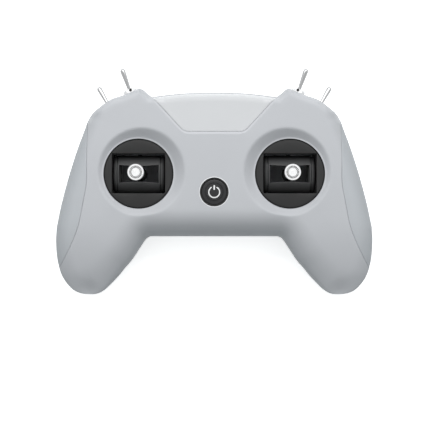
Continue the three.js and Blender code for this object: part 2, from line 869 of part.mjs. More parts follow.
function stickHub() {
  const ball = solidFrom(new THREE.SphereGeometry(hubRadius, tinySides, tinySides));
  const collar = rod(collarRadius, 0, collarHeight);
  const pin = alongY(rod(hubPinRadius, -drumRadius + clearance, drumRadius - clearance, tinySides));
  const bore = rod(stickRadius + clearance, hubRadius, collarHeight + overrun);
  return ball.add(collar).add(pin).subtract(bore);
}

const stickTip = discTop + stickRise;

function stickShaft() {
  return rod(stickRadius, hubRadius + clearance, stickTip - capHeight + capBoreDepth - clearance);
}

function stickCap() {
  const bottom = stickTip - capHeight;
  const shoulder = stickTip - capGrip;
  const groove = stickTip - capGroove;
  const boreTop = bottom + capBoreDepth;
  const bore = stickRadius + clearance;
  const profile = [
    [bore, bottom], [capNeckRadius, bottom], [capNeckRadius, shoulder - capEdge], [capRadius, shoulder],
    [capRadius, groove], [capRadius - capEdge, stickTip], [capGrooveOuter, stickTip],
    [capGrooveOuter, groove], [capGrooveInner, groove], [capGrooveInner, stickTip], [0, stickTip],
    [0, boreTop], [bore, boreTop], [bore, bottom],
  ];
  return turned(profile, roundSides);
}

// Electronics

function mainBoard() {
  const across = [-boardHalfWidth, boardHalfWidth];
  let board = block(across, [boardLow, boardHigh], [boardUnderside, boardTop]);
  for (const x of [-1, 1]) {
    const centre = (x * boardHalfWidth) / 2;
    const half = chipSide / 2;
    const chipAcross = [centre - half, centre + half];
    const chipHeights = [boardTop - chipHeight, boardTop + chipHeight];
    board = board.add(block(chipAcross, [chipY - half, chipY + half], chipHeights));
  }
  return board;
}

function boardBlock(width, length, y, low, high) {
  return block([-width / 2, width / 2], [y - length / 2, y + length / 2], [low, high]);
}

function tactSwitch(x, y, seat, direction) {
  const body = block([-tactSide / 2, tactSide / 2], [-tactSide / 2, tactSide / 2], [0, tactHeight]);
  const stem = rod(tactStemRadius, tactHeight / 2, tactHeight + tactStem, tinySides);
  const upright = body.add(stem);
  const turnedOver = direction > 0 ? upright : upright.mirror([0, 0, 1]);
  return turnedOver.translate([x, y, seat]);
}

function usbSocket() {
  const half = socketWidth / 2;
  const top = boardUnderside - clearance;
  const mouthY = boardLow - socketReach;
  const middle = top - socketHeight / 2;
  const halfMouth = socketMouthWidth / 2;
  const halfGap = socketMouthHeight / 2;
  const halfTongue = tongueWidth / 2;
  const shell = block([-half, half], [mouthY, mouthY + socketLength], [top - socketHeight, top]);
  const mouthAlong = [mouthY - overrun, mouthY + socketMouthDepth];
  const mouth = block([-halfMouth, halfMouth], mouthAlong, [middle - halfGap, middle + halfGap]);
  const tongueAlong = [mouthY + tongueSetback, mouthY + socketLength];
  const tongueHeights = [middle - tongueThickness / 2, middle + tongueThickness / 2];
  const tongue = block([-halfTongue, halfTongue], tongueAlong, tongueHeights);
  return shell.subtract(mouth).add(tongue);
}

function batteryPack() {
  const shape = new THREE.Shape();
  const bayTop = rearButtonY - rearButtonRadius - rearButtonFlange - batteryButtonGap;
  const bayBottom = outlinePoint(screwPlaceShares.middle).y + rearPostRadius + batteryPostGap;
  const halfX = batteryWidth / 2;
  const halfY = (bayTop - bayBottom) / 2;
  const turnX = halfX - batteryCorner;
  const turnY = halfY - batteryCorner;
  shape.absarc(turnX, turnY, batteryCorner, 0, Math.PI / 2, false);
  shape.absarc(-turnX, turnY, batteryCorner, Math.PI / 2, Math.PI, false);
  shape.absarc(-turnX, -turnY, batteryCorner, Math.PI, 1.5 * Math.PI, false);
  shape.absarc(turnX, -turnY, batteryCorner, 1.5 * Math.PI, 2 * Math.PI, false);
  const low = wall + clearance;
  return prism(shape, low, low + batteryHeight).translate([0, (bayTop + bayBottom) / 2, 0]);
}

function antennaBoard() {
  return boardBlock(antennaWidth, antennaLength, antennaY, antennaTop - antennaThickness, antennaTop);
}

function rearButton(x) {
  const flange = rearButtonRadius + rearButtonFlange;
  const flangeLow = wall + clearance;
  const flangeHigh = flangeLow + rearButtonFlange;
  const stemEnd = boardUnderside - clearance - tactHeight - tactStem - rearButtonTravel - clearance;
  const profile = [
    [0, rearButtonRecess], [rearButtonRadius, rearButtonRecess], [rearButtonRadius, flangeLow],
    [flange, flangeLow], [flange, flangeHigh], [tactStemRadius, flangeHigh],
    [tactStemRadius, stemEnd], [0, stemEnd],
  ];
  return turned(profile, smallSides).translate([x, rearButtonY, 0]);
}

// Finishes

const finishes = {
  caseGrey: { color: 0xb9bdc3, roughness: 0.55, metalness: 0 },
  panelGrey: { color: 0xd2d5d8, roughness: 0.5, metalness: 0 },
  black: { color: 0x1d1d1f, roughness: 0.45, metalness: 0 },
  darkGrey: { color: 0x3c3d3f, roughness: 0.5, metalness: 0 },
  bright: { color: 0xe4e6e8, roughness: 0.2, metalness: 1 },
  steel: { color: 0x9a9c9f, roughness: 0.35, metalness: 1 },
  boardGreen: { color: 0x1f5a36, roughness: 0.5, metalness: 0 },
  battery: { color: 0x3a4c8c, roughness: 0.4, metalness: 0 },
};

function named(name, solid, finish) {
  const { vertProperties, triVerts } = solid.getMesh();
  const geometry = new THREE.BufferGeometry();
  geometry.setAttribute('position', new THREE.BufferAttribute(vertProperties, 3));
  geometry.setIndex(new THREE.BufferAttribute(triVerts, 1));
  geometry.computeVertexNormals();
  const mesh = new THREE.Mesh(geometry, new THREE.MeshStandardMaterial(finishes[finish]));
  mesh.name = name;
  return mesh;
}

// Assembly

const transmitter = new THREE.Group();

function addCase() {
  const shell = frontShell();
  const sides = onBothSides(sideRegion(0));
  transmitter.add(named('front_cover', shell.subtract(onBothSides(sideRegion(clearance))), 'caseGrey'));
  const strips = shell.intersect(sides);
  const rightHalf = block([0, caseWidth], [-caseWidth, caseWidth], [0, caseWidth]);
  const rightStrip = strips.intersect(rightHalf);
  transmitter.add(named('right_grip_side', rightStrip, 'caseGrey'));
  transmitter.add(named('left_grip_side', mirrorX(rightStrip), 'caseGrey'));
  transmitter.add(named('rear_cover', rearCover(), 'caseGrey'));
  transmitter.add(named('name_panel', namePanel(), 'panelGrey'));
  for (const { name, x, y } of screwList) {
    const screw = named(name, caseScrew(), 'steel');
    screw.position.set(x, y, 0);
    transmitter.add(screw);
  }
}

function addGimbal(name, side, hasThrottle) {
  const gimbal = new THREE.Group();
  gimbal.position.set(side * gimbalX, gimbalY, pivotHeight);
  gimbal.add(named(`${name}_gimbal_bezel`, gimbalBezel(), 'black'));
  gimbal.add(named(`${name}_gimbal_frame`, gimbalFrame(), 'black'));
  gimbal.add(named(`${name}_gimbal_saddle`, gimbalSaddle(), 'darkGrey'));
  gimbal.add(named(`${name}_vertical_sensor`, pitchSensor(), 'boardGreen'));
  gimbal.add(named(`${name}_sideways_sensor`, rollSensor(), 'boardGreen'));
  if (hasThrottle) gimbal.add(named(`${name}_friction_strap`, frictionStrap(), 'steel'));
  else gimbal.add(named(`${name}_vertical_spring`, pitchSpring(), 'steel'));
  gimbal.add(named(`${name}_sideways_spring`, rollSpring(), 'steel'));
  gimbal.add(named(`${name}_stick_hub`, stickHub(), 'black'));
  gimbal.add(named(`${name}_stick_shaft`, stickShaft(), 'steel'));
  gimbal.add(named(`${name}_stick_end`, stickCap(), 'bright'));
  transmitter.add(gimbal);
}

function addSwitch(place) {
  const group = new THREE.Group();
  group.applyMatrix4(switchMatrix(place));
  group.add(named(`${place.name}_switch_body`, switchBody(), 'black'));
  group.add(named(`${place.name}_switch_nut`, switchNut(), 'bright'));
  group.add(named(`${place.name}_switch_lever`, switchLever(place.tiltDegrees), 'bright'));
  transmitter.add(group);
}

function addButtons() {
  transmitter.add(named('power_button_bezel', powerBezel(), 'black'));
  transmitter.add(named('power_button_cap', powerCap(), 'darkGrey'));
  transmitter.add(named('power_switch', tactSwitch(0, powerY, boardTop + clearance, 1), 'black'));
  for (const [name, x] of [['bind', -rearButtonX], ['setup', rearButtonX]]) {
    transmitter.add(named(`${name}_button`, rearButton(x), 'darkGrey'));
    const seat = boardUnderside - clearance;
    transmitter.add(named(`${name}_switch`, tactSwitch(x, rearButtonY, seat, -1), 'black'));
  }
}

function addElectronics() {
  const seat = boardTop + clearance;
  transmitter.add(named('main_board', mainBoard(), 'boardGreen'));
  const radioY = boardHigh - radioEndGap - radioLength / 2;
  const radio = boardBlock(radioWidth, radioLength, radioY, seat, seat + radioHeight);
  transmitter.add(named('radio_module', radio, 'steel'));
  transmitter.add(named('antenna_board', antennaBoard(), 'boardGreen'));
  const buzzerY = boardLow + buzzerEndGap;
  const buzzer = rod(buzzerRadius, seat, seat + buzzerHeight).translate([buzzerX, buzzerY, 0]);
  transmitter.add(named('buzzer', buzzer, 'black'));
  transmitter.add(named('usb_socket', usbSocket(), 'steel'));
  transmitter.add(named('battery_pack', batteryPack(), 'battery'));
}

addCase();
addGimbal('left', -1, true);
addGimbal('right', 1, false);
switches.forEach(addSwitch);
addButtons();
addElectronics();

export default transmitter;
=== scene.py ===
"""Looks of a hand-held radio transmitter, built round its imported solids.

Metres, in the frame of the solids: +X to the right of the face, +Y toward the toggle switches, +Z out of the face.
"""

import sys
import json
import logging
import math
from dataclasses import dataclass
from enum import Enum

import bpy
import numpy as np
from mathutils import Matrix, Vector, geometry, kdtree

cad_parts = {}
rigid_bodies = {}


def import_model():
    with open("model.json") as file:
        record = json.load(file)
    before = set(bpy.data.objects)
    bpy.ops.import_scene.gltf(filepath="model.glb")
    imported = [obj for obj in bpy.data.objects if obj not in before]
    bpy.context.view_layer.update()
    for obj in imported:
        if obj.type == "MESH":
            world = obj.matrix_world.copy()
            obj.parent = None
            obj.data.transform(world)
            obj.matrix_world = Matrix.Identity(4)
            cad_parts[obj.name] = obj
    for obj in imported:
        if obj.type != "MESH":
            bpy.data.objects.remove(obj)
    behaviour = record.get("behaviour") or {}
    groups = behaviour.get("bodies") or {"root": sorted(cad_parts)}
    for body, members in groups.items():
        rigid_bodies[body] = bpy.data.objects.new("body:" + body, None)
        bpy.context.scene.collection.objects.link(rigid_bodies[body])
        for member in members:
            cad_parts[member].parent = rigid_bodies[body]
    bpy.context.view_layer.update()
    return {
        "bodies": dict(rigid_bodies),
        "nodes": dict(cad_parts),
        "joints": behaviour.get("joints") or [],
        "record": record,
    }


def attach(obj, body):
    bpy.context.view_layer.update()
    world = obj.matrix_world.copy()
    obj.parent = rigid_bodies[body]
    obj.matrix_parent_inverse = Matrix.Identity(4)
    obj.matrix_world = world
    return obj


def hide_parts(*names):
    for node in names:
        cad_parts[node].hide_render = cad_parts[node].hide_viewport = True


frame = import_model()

LOG = logging.getLogger("transmitter")
SIDES = {"left": -1, "right": 1}
Colour = tuple[float, float, float]
Place = tuple[float, float, float]
Profile = list[tuple[float, float]]

TURN = 2 * math.pi
ALONG_X = Matrix.Rotation(math.pi / 2, 4, "Y")
ALONG_Y = Matrix.Rotation(math.pi / 2, 4, "X")
CREASE = math.radians(32)
BEVELLED = math.radians(40)
# Corners nearer than MERGE are one, edges under SLIVER are taken out, and a corner this near a radius lies on it.
MERGE = 1e-7
SLIVER = 1e-8
ON_RADIUS = 1e-5
# Larger than the object on every side, for cutters that take all beyond a plane.
BEYOND = 0.03


# Finishes


def seen_ray(tree: bpy.types.NodeTree) -> bpy.types.NodeSocket:
    """Tells the rays that show a surface from those that only light another one.

    Args:
        tree: The node tree that asks.

    Returns:
        A socket that is 1 for what the camera sees, straight, mirrored or through glass, and else 0.
    """
    path = tree.nodes.new("ShaderNodeLightPath")
    seen = path.outputs["Is Camera Ray"]
    for kind in ("Is Glossy Ray", "Is Transmission Ray"):
        either = tree.nodes.new("ShaderNodeMath")
        either.operation = "MAXIMUM"
        tree.links.new(seen, either.inputs[0])
        tree.links.new(path.outputs[kind], either.inputs[1])
        seen = either.outputs["Value"]
    return seen


@dataclass(frozen=True)
class Finish:
    """A surface, described by its colours, gloss and texture.

    Sizes of the texture are in metres; mottle and grain are the size of one patch and of one speck.
    """

    name: str
    tint: Colour
    shade: Colour
    roughness: tuple[float, float]
    mottle: float
    grain: float
    relief: float
    metallic: float = 0.0
    shine: float = 0.5
    blend: tuple[float, float] = (0.3, 0.7)
    mottle_detail: float = 4.0
    grain_detail: float = 3.0

    @staticmethod
    def noise(tree: bpy.types.NodeTree, size: float, detail: float) -> bpy.types.NodeSocket:
        """Adds a noise texture on the piece's own coordinates.

        Args:
            tree: The material's node tree.
            size: The size of one patch.
            detail: How many finer layers it has.

        Returns:
            The socket that gives the noise.
        """
        place = tree.nodes.new("ShaderNodeTexCoord")
        noise = tree.nodes.new("ShaderNodeTexNoise")
        noise.inputs["Scale"].default_value = 1 / size
        noise.inputs["Detail"].default_value = detail
        tree.links.new(place.outputs["Object"], noise.inputs["Vector"])
        return noise.outputs["Fac"]

    def material(self) -> bpy.types.Material:
        """Makes the node material, once, and returns it after that.

        Returns:
            The material of this finish.
        """
        made = bpy.data.materials.get(self.name)
        if made:
            return made
        made = bpy.data.materials.new(self.name)
        made.use_nodes = True
        tree = made.node_tree
        shader = tree.nodes["Principled BSDF"]
        shader.inputs["Metallic"].default_value = self.metallic
        shader.inputs["Specular IOR Level"].default_value = self.shine
        ramp = tree.nodes.new("ShaderNodeValToRGB")
        for element, position, colour in zip(ramp.color_ramp.elements, self.blend, (self.shade, self.tint)):
            element.position = position
            element.color = (*colour, 1)
        tree.links.new(self.noise(tree, self.mottle, self.mottle_detail), ramp.inputs["Fac"])
        tree.links.new(ramp.outputs["Color"], shader.inputs["Base Color"])
        specks = self.noise(tree, self.grain, self.grain_detail)
        gloss = tree.nodes.new("ShaderNodeMapRange")
        gloss.inputs["To Min"].default_value, gloss.inputs["To Max"].default_value = self.roughness
        tree.links.new(specks, gloss.inputs["Value"])
        tree.links.new(gloss.outputs["Result"], shader.inputs["Roughness"])
        bump = tree.nodes.new("ShaderNodeBump")
        bump.inputs["Distance"].default_value = self.relief
        bump.inputs["Strength"].default_value = 1.0
        tree.links.new(specks, bump.inputs["Height"])
        tree.links.new(bump.outputs["Normal"], shader.inputs["Normal"])
        return made


class Look(Enum):
    """The finishes on the transmitter."""

    CASE = Finish(
        "case_plastic", (0.5, 0.507, 0.53), (0.485, 0.492, 0.515), (0.42, 0.55), 0.03, 0.00045, 0.000012, shine=0.2
    )
    # A rougher copy of the case plastic; its slightly darker tone is painted shade of the grips' side roll.
    GRIP = Finish(
        "grip_plastic_shaded", (0.47, 0.485, 0.508), (0.455, 0.47, 0.493), (0.5, 0.62), 0.02, 0.0004, 0.00002, shine=0.2
    )
    PANEL = Finish(
        "panel_satin", (0.575, 0.58, 0.595), (0.56, 0.565, 0.58), (0.32, 0.42), 0.025, 0.0005, 0.000005
    )
    # Pale plastic for the thin ring round the power button: its paleness is a painted highlight of the hole's chamfer.
    RIM = Finish(
        "painted_highlight_lip", (0.72, 0.725, 0.74), (0.7, 0.705, 0.72), (0.25, 0.35), 0.02, 0.0004, 0.000003
    )
    BLACK = Finish(
        "black_plastic", (0.016, 0.016, 0.017), (0.012, 0.012, 0.013), (0.4, 0.55), 0.012, 0.0004, 0.00001, shine=0.3
    )
    DISC = Finish(
        "gimbal_plastic", (0.021, 0.021, 0.0212), (0.017, 0.017, 0.0172), (0.42, 0.55), 0.015, 0.0004, 0.000012,
        shine=0.3,
    )
    SADDLE = Finish(
        "saddle_plastic", (0.068, 0.068, 0.069), (0.06, 0.06, 0.061), (0.3, 0.42), 0.01, 0.0005, 0.000008, shine=0.1
    )
    CAP = Finish(
        "button_plastic", (0.027, 0.027, 0.029), (0.021, 0.021, 0.023), (0.25, 0.38), 0.006, 0.0004, 0.000006,
        shine=0.25,
    )
    PRINT = Finish(
        "white_print", (0.8, 0.8, 0.8), (0.74, 0.74, 0.74), (0.45, 0.6), 0.002, 0.0002, 0.000004
    )
    CHROME = Finish(
        "bright_plating", (0.41, 0.415, 0.42), (0.38, 0.385, 0.39), (0.12, 0.2), 0.004, 0.0006, 0.0000006, 1.0
    )
    NICKEL = Finish(
        "satin_nickel", (0.84, 0.84, 0.845), (0.8, 0.8, 0.805), (0.35, 0.45), 0.004, 0.0004, 0.000001, 0.2
    )
    ALLOY = Finish(
        "turned_alloy", (0.9, 0.902, 0.905), (0.85, 0.853, 0.86), (0.22, 0.36), 0.003, 0.0002, 0.000005, 0.9
    )
    # Near-black finish for the floor of the stick end's groove: painted shade of the deep groove.
    RING = Finish(
        "groove_painted_shade", (0.045, 0.045, 0.047), (0.03, 0.03, 0.032), (0.35, 0.5), 0.003, 0.0002, 0.000004, 0.1
    )
    STEEL = Finish(
        "plain_steel", (0.52, 0.52, 0.53), (0.42, 0.42, 0.43), (0.28, 0.45), 0.004, 0.0003, 0.000006, 1.0
    )
    BOARD = Finish(
        "solder_mask", (0.02, 0.12, 0.05), (0.012, 0.08, 0.035), (0.3, 0.45), 0.006, 0.0008, 0.00001
    )
    WRAP = Finish(
        "battery_wrap", (0.05, 0.08, 0.26), (0.04, 0.06, 0.2), (0.28, 0.4), 0.012, 0.001, 0.00002
    )


SLOT_LOOKS = {
    "case_grey": Look.CASE,
    "panel_grey": Look.PANEL,
    "black_plastic": Look.BLACK,
    "dark_plastic": Look.SADDLE,
    "bright_metal": Look.CHROME,
    "steel": Look.STEEL,
    "circuit_board": Look.BOARD,
    "battery_wrap": Look.WRAP,
}


# Making and dressing pieces


def only(piece: bpy.types.Object) -> None:
    """Makes a piece the one selected and active object.

    Args:
        piece: The object to select.
    """
    bpy.ops.object.select_all(action="DESELECT")
    piece.select_set(True)
    bpy.context.view_layer.objects.active = piece


def dress(piece: bpy.types.Object, look: Look, slot: str, body: str, *replaced: str) -> None:
    """Smooths a finished piece, gives it its finish and its body, and hides the solids it stands for.

    Args:
        piece: The object, in place.
        look: Its finish.
        slot: The record's material slot of the solid; not used.
        body: The body it moves with.
        replaced: The solids it stands for.
    """
    only(piece)
    bpy.ops.object.shade_smooth_by_angle(angle=CREASE)
    piece.data.materials.clear()
    piece.data.materials.append(look.value.material())
    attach(piece, body)
    if replaced:
        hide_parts(*replaced)
    LOG.info("%s: %d faces on %s", piece.name, len(piece.data.polygons), body)


def mesh_piece(name: str, corners: np.ndarray, faces: list) -> bpy.types.Object:
    """Makes an object from corners and faces.

    Args:
        name: The object's name.
        corners: One row of three coordinates for each corner.
        faces: Lists of corner numbers, anticlockwise as seen from outside.

    Returns:
        The new object.
    """
    mesh = bpy.data.meshes.new(name)
    mesh.from_pydata(corners.tolist(), [], faces)
    mesh.validate()
    piece = bpy.data.objects.new(name, mesh)
    bpy.context.scene.collection.objects.link(piece)
    return piece


def opened(piece: bpy.types.Object) -> None:
    """Opens a piece in edit mode, with its whole mesh selected.

    Args:
        piece: The object.
    """
    only(piece)
    bpy.ops.object.mode_set(mode="EDIT")
    bpy.ops.mesh.select_all(action="SELECT")


def sealed(piece: bpy.types.Object) -> bpy.types.Object:
    """Merges the doubles of the piece in edit mode, turns its faces outward and leaves edit mode.

    Args:
        piece: The object.

    Returns:
        The same object.
    """
    bpy.ops.mesh.select_all(action="SELECT")
    bpy.ops.mesh.remove_doubles(threshold=MERGE)
    bpy.ops.mesh.dissolve_degenerate(threshold=SLIVER)
    bpy.ops.mesh.select_all(action="SELECT")
    bpy.ops.mesh.normals_make_consistent(inside=False)
    bpy.ops.object.mode_set(mode="OBJECT")
    return piece


def apply(piece: bpy.types.Object, kind: str, **settings: object) -> None:
    """Adds a modifier to a piece and applies it.

    Args:
        piece: The object.
        kind: The modifier's type.
        settings: The modifier's properties.
    """
    modifier = piece.modifiers.new(kind.lower(), kind)
    for key, value in settings.items():
        setattr(modifier, key, value)
    only(piece)
    bpy.ops.object.modifier_apply(modifier=modifier.name)


def cut(piece: bpy.types.Object, cutter: bpy.types.Object, operation: str = "DIFFERENCE") -> None:
    """Cuts a piece with another, which is then removed.

    Args:
        piece: The object to cut.
        cutter: The object to cut it with.
        operation: The boolean operation.
    """
    apply(piece, "BOOLEAN", object=cutter, operation=operation, solver="EXACT")
    bpy.data.meshes.remove(cutter.data)


def turned(name: str, profile: Profile, sides: int) -> bpy.types.Object:
    """Makes a piece of revolution about Z with the spin tool.

    Args:
        name: The piece's name.
        profile: Pairs of radius and height, from axis to axis or all round a section that is clear of the axis.
        sides: The number of its sides.

    Returns:
        The new closed object, at the origin.
    """
    piece = mesh_piece(name, np.array([(radius, 0, height) for radius, height in profile]), [])
    count = len(profile)
    runs = [(i, i + 1) for i in range(count - 1)]
    if profile[0][0] > 0:
        runs.append((count - 1, 0))
    piece.data.edges.add(len(runs))
    piece.data.edges.foreach_set("vertices", [k for run in runs for k in run])
    opened(piece)
    bpy.ops.mesh.spin(steps=sides, angle=TURN, center=(0, 0, 0), axis=(0, 0, 1), use_auto_merge=False)
    return sealed(piece)


def arc(radius: float, middle: float, degrees: range) -> Profile:
    """Samples an arc of a profile about a point on the axis.

    Args:
        radius: The arc's radius.
        middle: The height of its centre.
        degrees: The angles above the level of the centre.

    Returns:
        Pairs of radius and height.
    """
    turns = [math.radians(angle) for angle in degrees]
    return [(radius * math.cos(turn), middle + radius * math.sin(turn)) for turn in turns]


def extruded(name: str, loop: list, low: float, high: float) -> bpy.types.Object:
    """Makes a straight piece from an outline in plan.

    Args:
        name: The piece's name.
        loop: The outline's corners, anticlockwise.
        low: The height of its bottom.
        high: The height of its top.

    Returns:
        The new closed object, at the origin.
    """
    piece = mesh_piece(name, np.array([(x, y, low) for x, y in loop]), [list(range(len(loop)))])
    opened(piece)
    bpy.ops.mesh.extrude_region_move(TRANSFORM_OT_translate={"value": (0, 0, high - low)})
    return sealed(piece)


def block(name: str, low: Place, high: Place, edge: float = 0.0) -> bpy.types.Object:
    """Makes a box between two corners, with its edges rounded.

    Args:
        name: The piece's name.
        low: Its lowest corner.
        high: Its highest corner.
        edge: The radius of its edges.

    Returns:
        The new object, at the origin.
    """
    middle = [(a + b) / 2 for a, b in zip(low, high)]
    bpy.ops.mesh.primitive_cube_add(size=1, location=middle, scale=[b - a for a, b in zip(low, high)])
    piece = bpy.context.object
    piece.name = name
    bpy.ops.object.transform_apply(location=True, rotation=True, scale=True)
    if edge:
        apply(piece, "BEVEL", width=edge, segments=3, limit_method="NONE")
    return piece


def half_space(axis: int, start: float) -> bpy.types.Object:
    """Makes a cutter for all that lies below a plane.

    Args:
        axis: The axis that the plane is square to: 1 for Y, 2 for Z.
        start: The plane's place on that axis.

    Returns:
        The cutter.
    """
    high = [BEYOND] * 3
    high[axis] = start
    return block("plane_cutter", (-BEYOND, -BEYOND, -BEYOND), tuple(high))


def rounded(piece: bpy.types.Object, edge: float) -> bpy.types.Object:
    """Rounds the sharp edges of a piece.

    Args:
        piece: The object.
        edge: The radius of the edges.

    Returns:
        The same object.
    """
    apply(piece, "BEVEL", width=edge, segments=2, limit_method="ANGLE", angle_limit=BEVELLED)
    return piece


def joined(pieces: list[bpy.types.Object]) -> bpy.types.Object:
    """Joins some pieces into the first of them.

    Args:
        pieces: The objects.

    Returns:
        The first object.
    """
    only(pieces[0])
    for piece in pieces[1:]:
        piece.select_set(True)
    bpy.ops.object.join()
    return pieces[0]


def around(piece: bpy.types.Object, count: int) -> bpy.types.Object:
    """Repeats a piece in a ring about Z and joins the copies.

    Args:
        piece: The object.
        count: How many there are in the ring.

    Returns:
        The joined object.
    """
    copies = [piece]
    for i in range(1, count):
        copy = piece.copy()
        copy.data = piece.data.copy()
        copy.data.transform(Matrix.Rotation(i * TURN / count, 4, "Z"))
        bpy.context.scene.collection.objects.link(copy)
        copies.append(copy)
    return joined(copies)


def moved(piece: bpy.types.Object, matrix: Matrix) -> bpy.types.Object:
    """Moves the mesh of a piece, and leaves its origin where it is."""
    piece.data.transform(matrix)
    return piece


# The case in plan


def catmull_rom(points: list, count: int) -> np.ndarray:
    """Samples the curve through some points.

    Args:
        points: The points that the curve goes through.
        count: The number of steps.

    Returns:
        The curve's points, one more than the steps.
    """
    points = np.array(points, float)
    last = len(points) - 1
    reach = np.linspace(0, last, count + 1)
    i = np.minimum(reach.astype(int), last - 1)
    w = (reach - i)[:, None]
    before, start, end, after = (points[np.clip(i + k, 0, last)] for k in (-1, 0, 1, 2))
    out, back = (end - before) / 2, (after - start) / 2
    return (2 * start - 2 * end + out + back) * w**3 + (3 * end - 3 * start - 2 * out - back) * w**2 + out * w + start


def distance_to(path: np.ndarray, points: np.ndarray) -> np.ndarray:
    """Measures how far points lie from a run of straight pieces.

    Args:
        path: The ends of the straight pieces, in order.
        points: The points to measure from.

    Returns:
        The distance of each point.
    """
    nearest = np.full(len(points), np.inf)
    for start, run in zip(path[:-1], np.diff(path, axis=0)):
        share = np.clip((points - start) @ run / max(run @ run, sys.float_info.min), 0, 1)
        np.minimum(nearest, np.hypot(*(points - start - share[:, None] * run).T), out=nearest)
    return nearest


def inside(loop: np.ndarray, points: np.ndarray) -> np.ndarray:
    """Tells which points lie inside a closed loop.

    Args:
        loop: The loop's corners.
        points: The points to test.

    Returns:
        A truth value for each point.
    """
    within = np.zeros(len(points), bool)
    x, y = points.T
    for (ax, ay), (bx, by) in zip(loop, np.roll(loop, -1, axis=0)):
        if ay != by:
            within ^= ((ay > y) != (by > y)) & (x < (bx - ax) * (y - ay) / (by - ay) + ax)
    return within


def circle(centre: tuple, radius: float, count: int) -> np.ndarray:
    """Returns evenly spaced points on a circle in plan."""
    turn = np.arange(count) * (TURN / count)
    return np.stack([centre[0] + radius * np.cos(turn), centre[1] + radius * np.sin(turn)], axis=1)


def ramp_down(distance: np.ndarray, width: float) -> np.ndarray:
    """Returns 1 at no distance, falling in a straight line to 0 at a width."""
    return np.clip(1 - distance / width, 0, 1)


# The right half's outer edge and, across from it, its lower and inner edge, in shares of the half width and reaches
LOW = -0.484
SHOULDER = (0.789, 0.69)
GRIP_WAIST = (0.995, -0.4)
GRIP_WAIST_INNER = (0.566, -0.765)
GRIP_END = (0.789, -1)
SHOULDER_SIDE = (
    SHOULDER,
    *((0.801, 0.642), (0.82, 0.548), (0.859, 0.37), (0.903, 0.142), (0.938, -0.053), (0.969, -0.225)),
    GRIP_WAIST,
)
GRIP_SIDE = (
    GRIP_WAIST,
    *((1, -0.53), (0.991, -0.694), (0.962, -0.837), (0.905, -0.944), (0.85, -0.988)),
    GRIP_END,
)
SPAN_SHARES = (
    ("top", 4, ((0, 0.96), (0.2, 0.949), (0.392, 0.912)), ((0, LOW), (0.2, LOW))),
    ("top", 2, ((0.392, 0.912), (0.415, 0.941), (0.447, 0.99)), ((0.2, LOW), (0.26, LOW))),
    ("top", 3, ((0.447, 0.99), (0.472, 1), (0.497, 0.977)), ((0.26, LOW), (0.3, LOW))),
    ("top", 2, ((0.497, 0.977), (0.581, 0.922)), ((0.3, LOW), (0.33, LOW))),
    ("top", 2, ((0.581, 0.922), (0.645, 0.886), (0.7, 0.826)), ((0.33, LOW), (0.36, LOW))),
    ("top", 3, ((0.7, 0.826), (0.76, 0.746), SHOULDER), ((0.36, LOW), (0.4, LOW))),
    ("side", 7, SHOULDER_SIDE, ((0.4, LOW), (0.432, -0.507), (0.472, -0.587), (0.522, -0.694), GRIP_WAIST_INNER)),
    (
        "side", 7, GRIP_SIDE,
        (GRIP_WAIST_INNER, (0.607, -0.837), (0.655, -0.908), (0.7, -0.966), (0.742, -0.994), GRIP_END),
    ),
)
SEAM_SHARES = (
    *((0.797, 0.7), (0.79, 0.6), (0.787, 0.45), (0.788, 0.307), (0.788, 0.171), (0.787, 0.046), (0.792, -0.049)),
    *((0.808, -0.164), (0.824, -0.28), (0.84, -0.381), (0.867, -0.483), (0.901, -0.585), (0.937, -0.675)),
    *((0.972, -0.755), (0.995, -0.8)),
)
SCREW_SHARES = {"top": (0.295, 0.736), "middle": (0.253, -0.355), "grip": (0.779, -0.74)}
SWITCH_SHARES = {"inner": (0.5241, 0.946), "outer": (0.652, 0.782)}


@dataclass(frozen=True)
class CaseForm:
    """Outline and curved faces that all the shell pieces share."""

    half_width: float = 0.095
    horn_reach: float = 0.0557
    grip_reach: float = 0.0676
    crown: float = 0.042
    parting: float = 0.020
    rim_band: float = 0.002
    wall: float = 0.0022
    clearance: float = 0.0003
    fall_across: float = 0.006
    fall_along: float = 0.005
    fall_start: float = 0.030
    grip_lift: float = 0.005
    grip_lift_start: float = 0.015
    grip_drop: float = 0.009
    grip_drop_start: float = 0.020
    top_roll: float = 0.005
    side_roll: float = 0.011
    inner_roll: float = 0.0165
    back_roll: float = 0.014
    fineness: int = 5
    side_margin: float = 5e-6

    def place(self, shares: tuple) -> np.ndarray:
        """Turns an outline share into a point."""
        x, y = shares
        return np.array([x * self.half_width, y * (self.horn_reach if y > 0 else self.grip_reach)])

    def curve(self, shares: tuple, count: int) -> np.ndarray:
        """Samples the curve through some outline shares."""
        return catmull_rom([self.place(pair) for pair in shares], count)

    def edges(self) -> dict[str, np.ndarray]:
        """Collects the right half's edges by the kind of roll they have.

        Returns:
            The paths of the top, side and inner edges.
        """
        runs = {"top": [], "side": [], "inner": []}
        for kind, steps, outer, inner in SPAN_SHARES:
            count = steps * self.fineness
            skip = 1 if runs["inner"] else 0
            runs[kind].append(self.curve(outer, count)[1 if runs[kind] else 0 :])
            runs["inner"].append(self.curve(inner, count)[skip:])
        return {kind: np.concatenate(parts) for kind, parts in runs.items()}

    def loop(self) -> np.ndarray:
        """Joins the edges into the whole closed outline.

        Returns:
            The outline's points, clockwise from the middle of the top.
        """
        edges = self.edges()
        half = np.concatenate([edges["top"], edges["side"][1:], edges["inner"][-2::-1]])
        half[:, 0] = np.minimum(half[:, 0], self.half_width - self.side_margin)
        other = half[-2:0:-1] * (-1, 1)
        return np.concatenate([half, other])


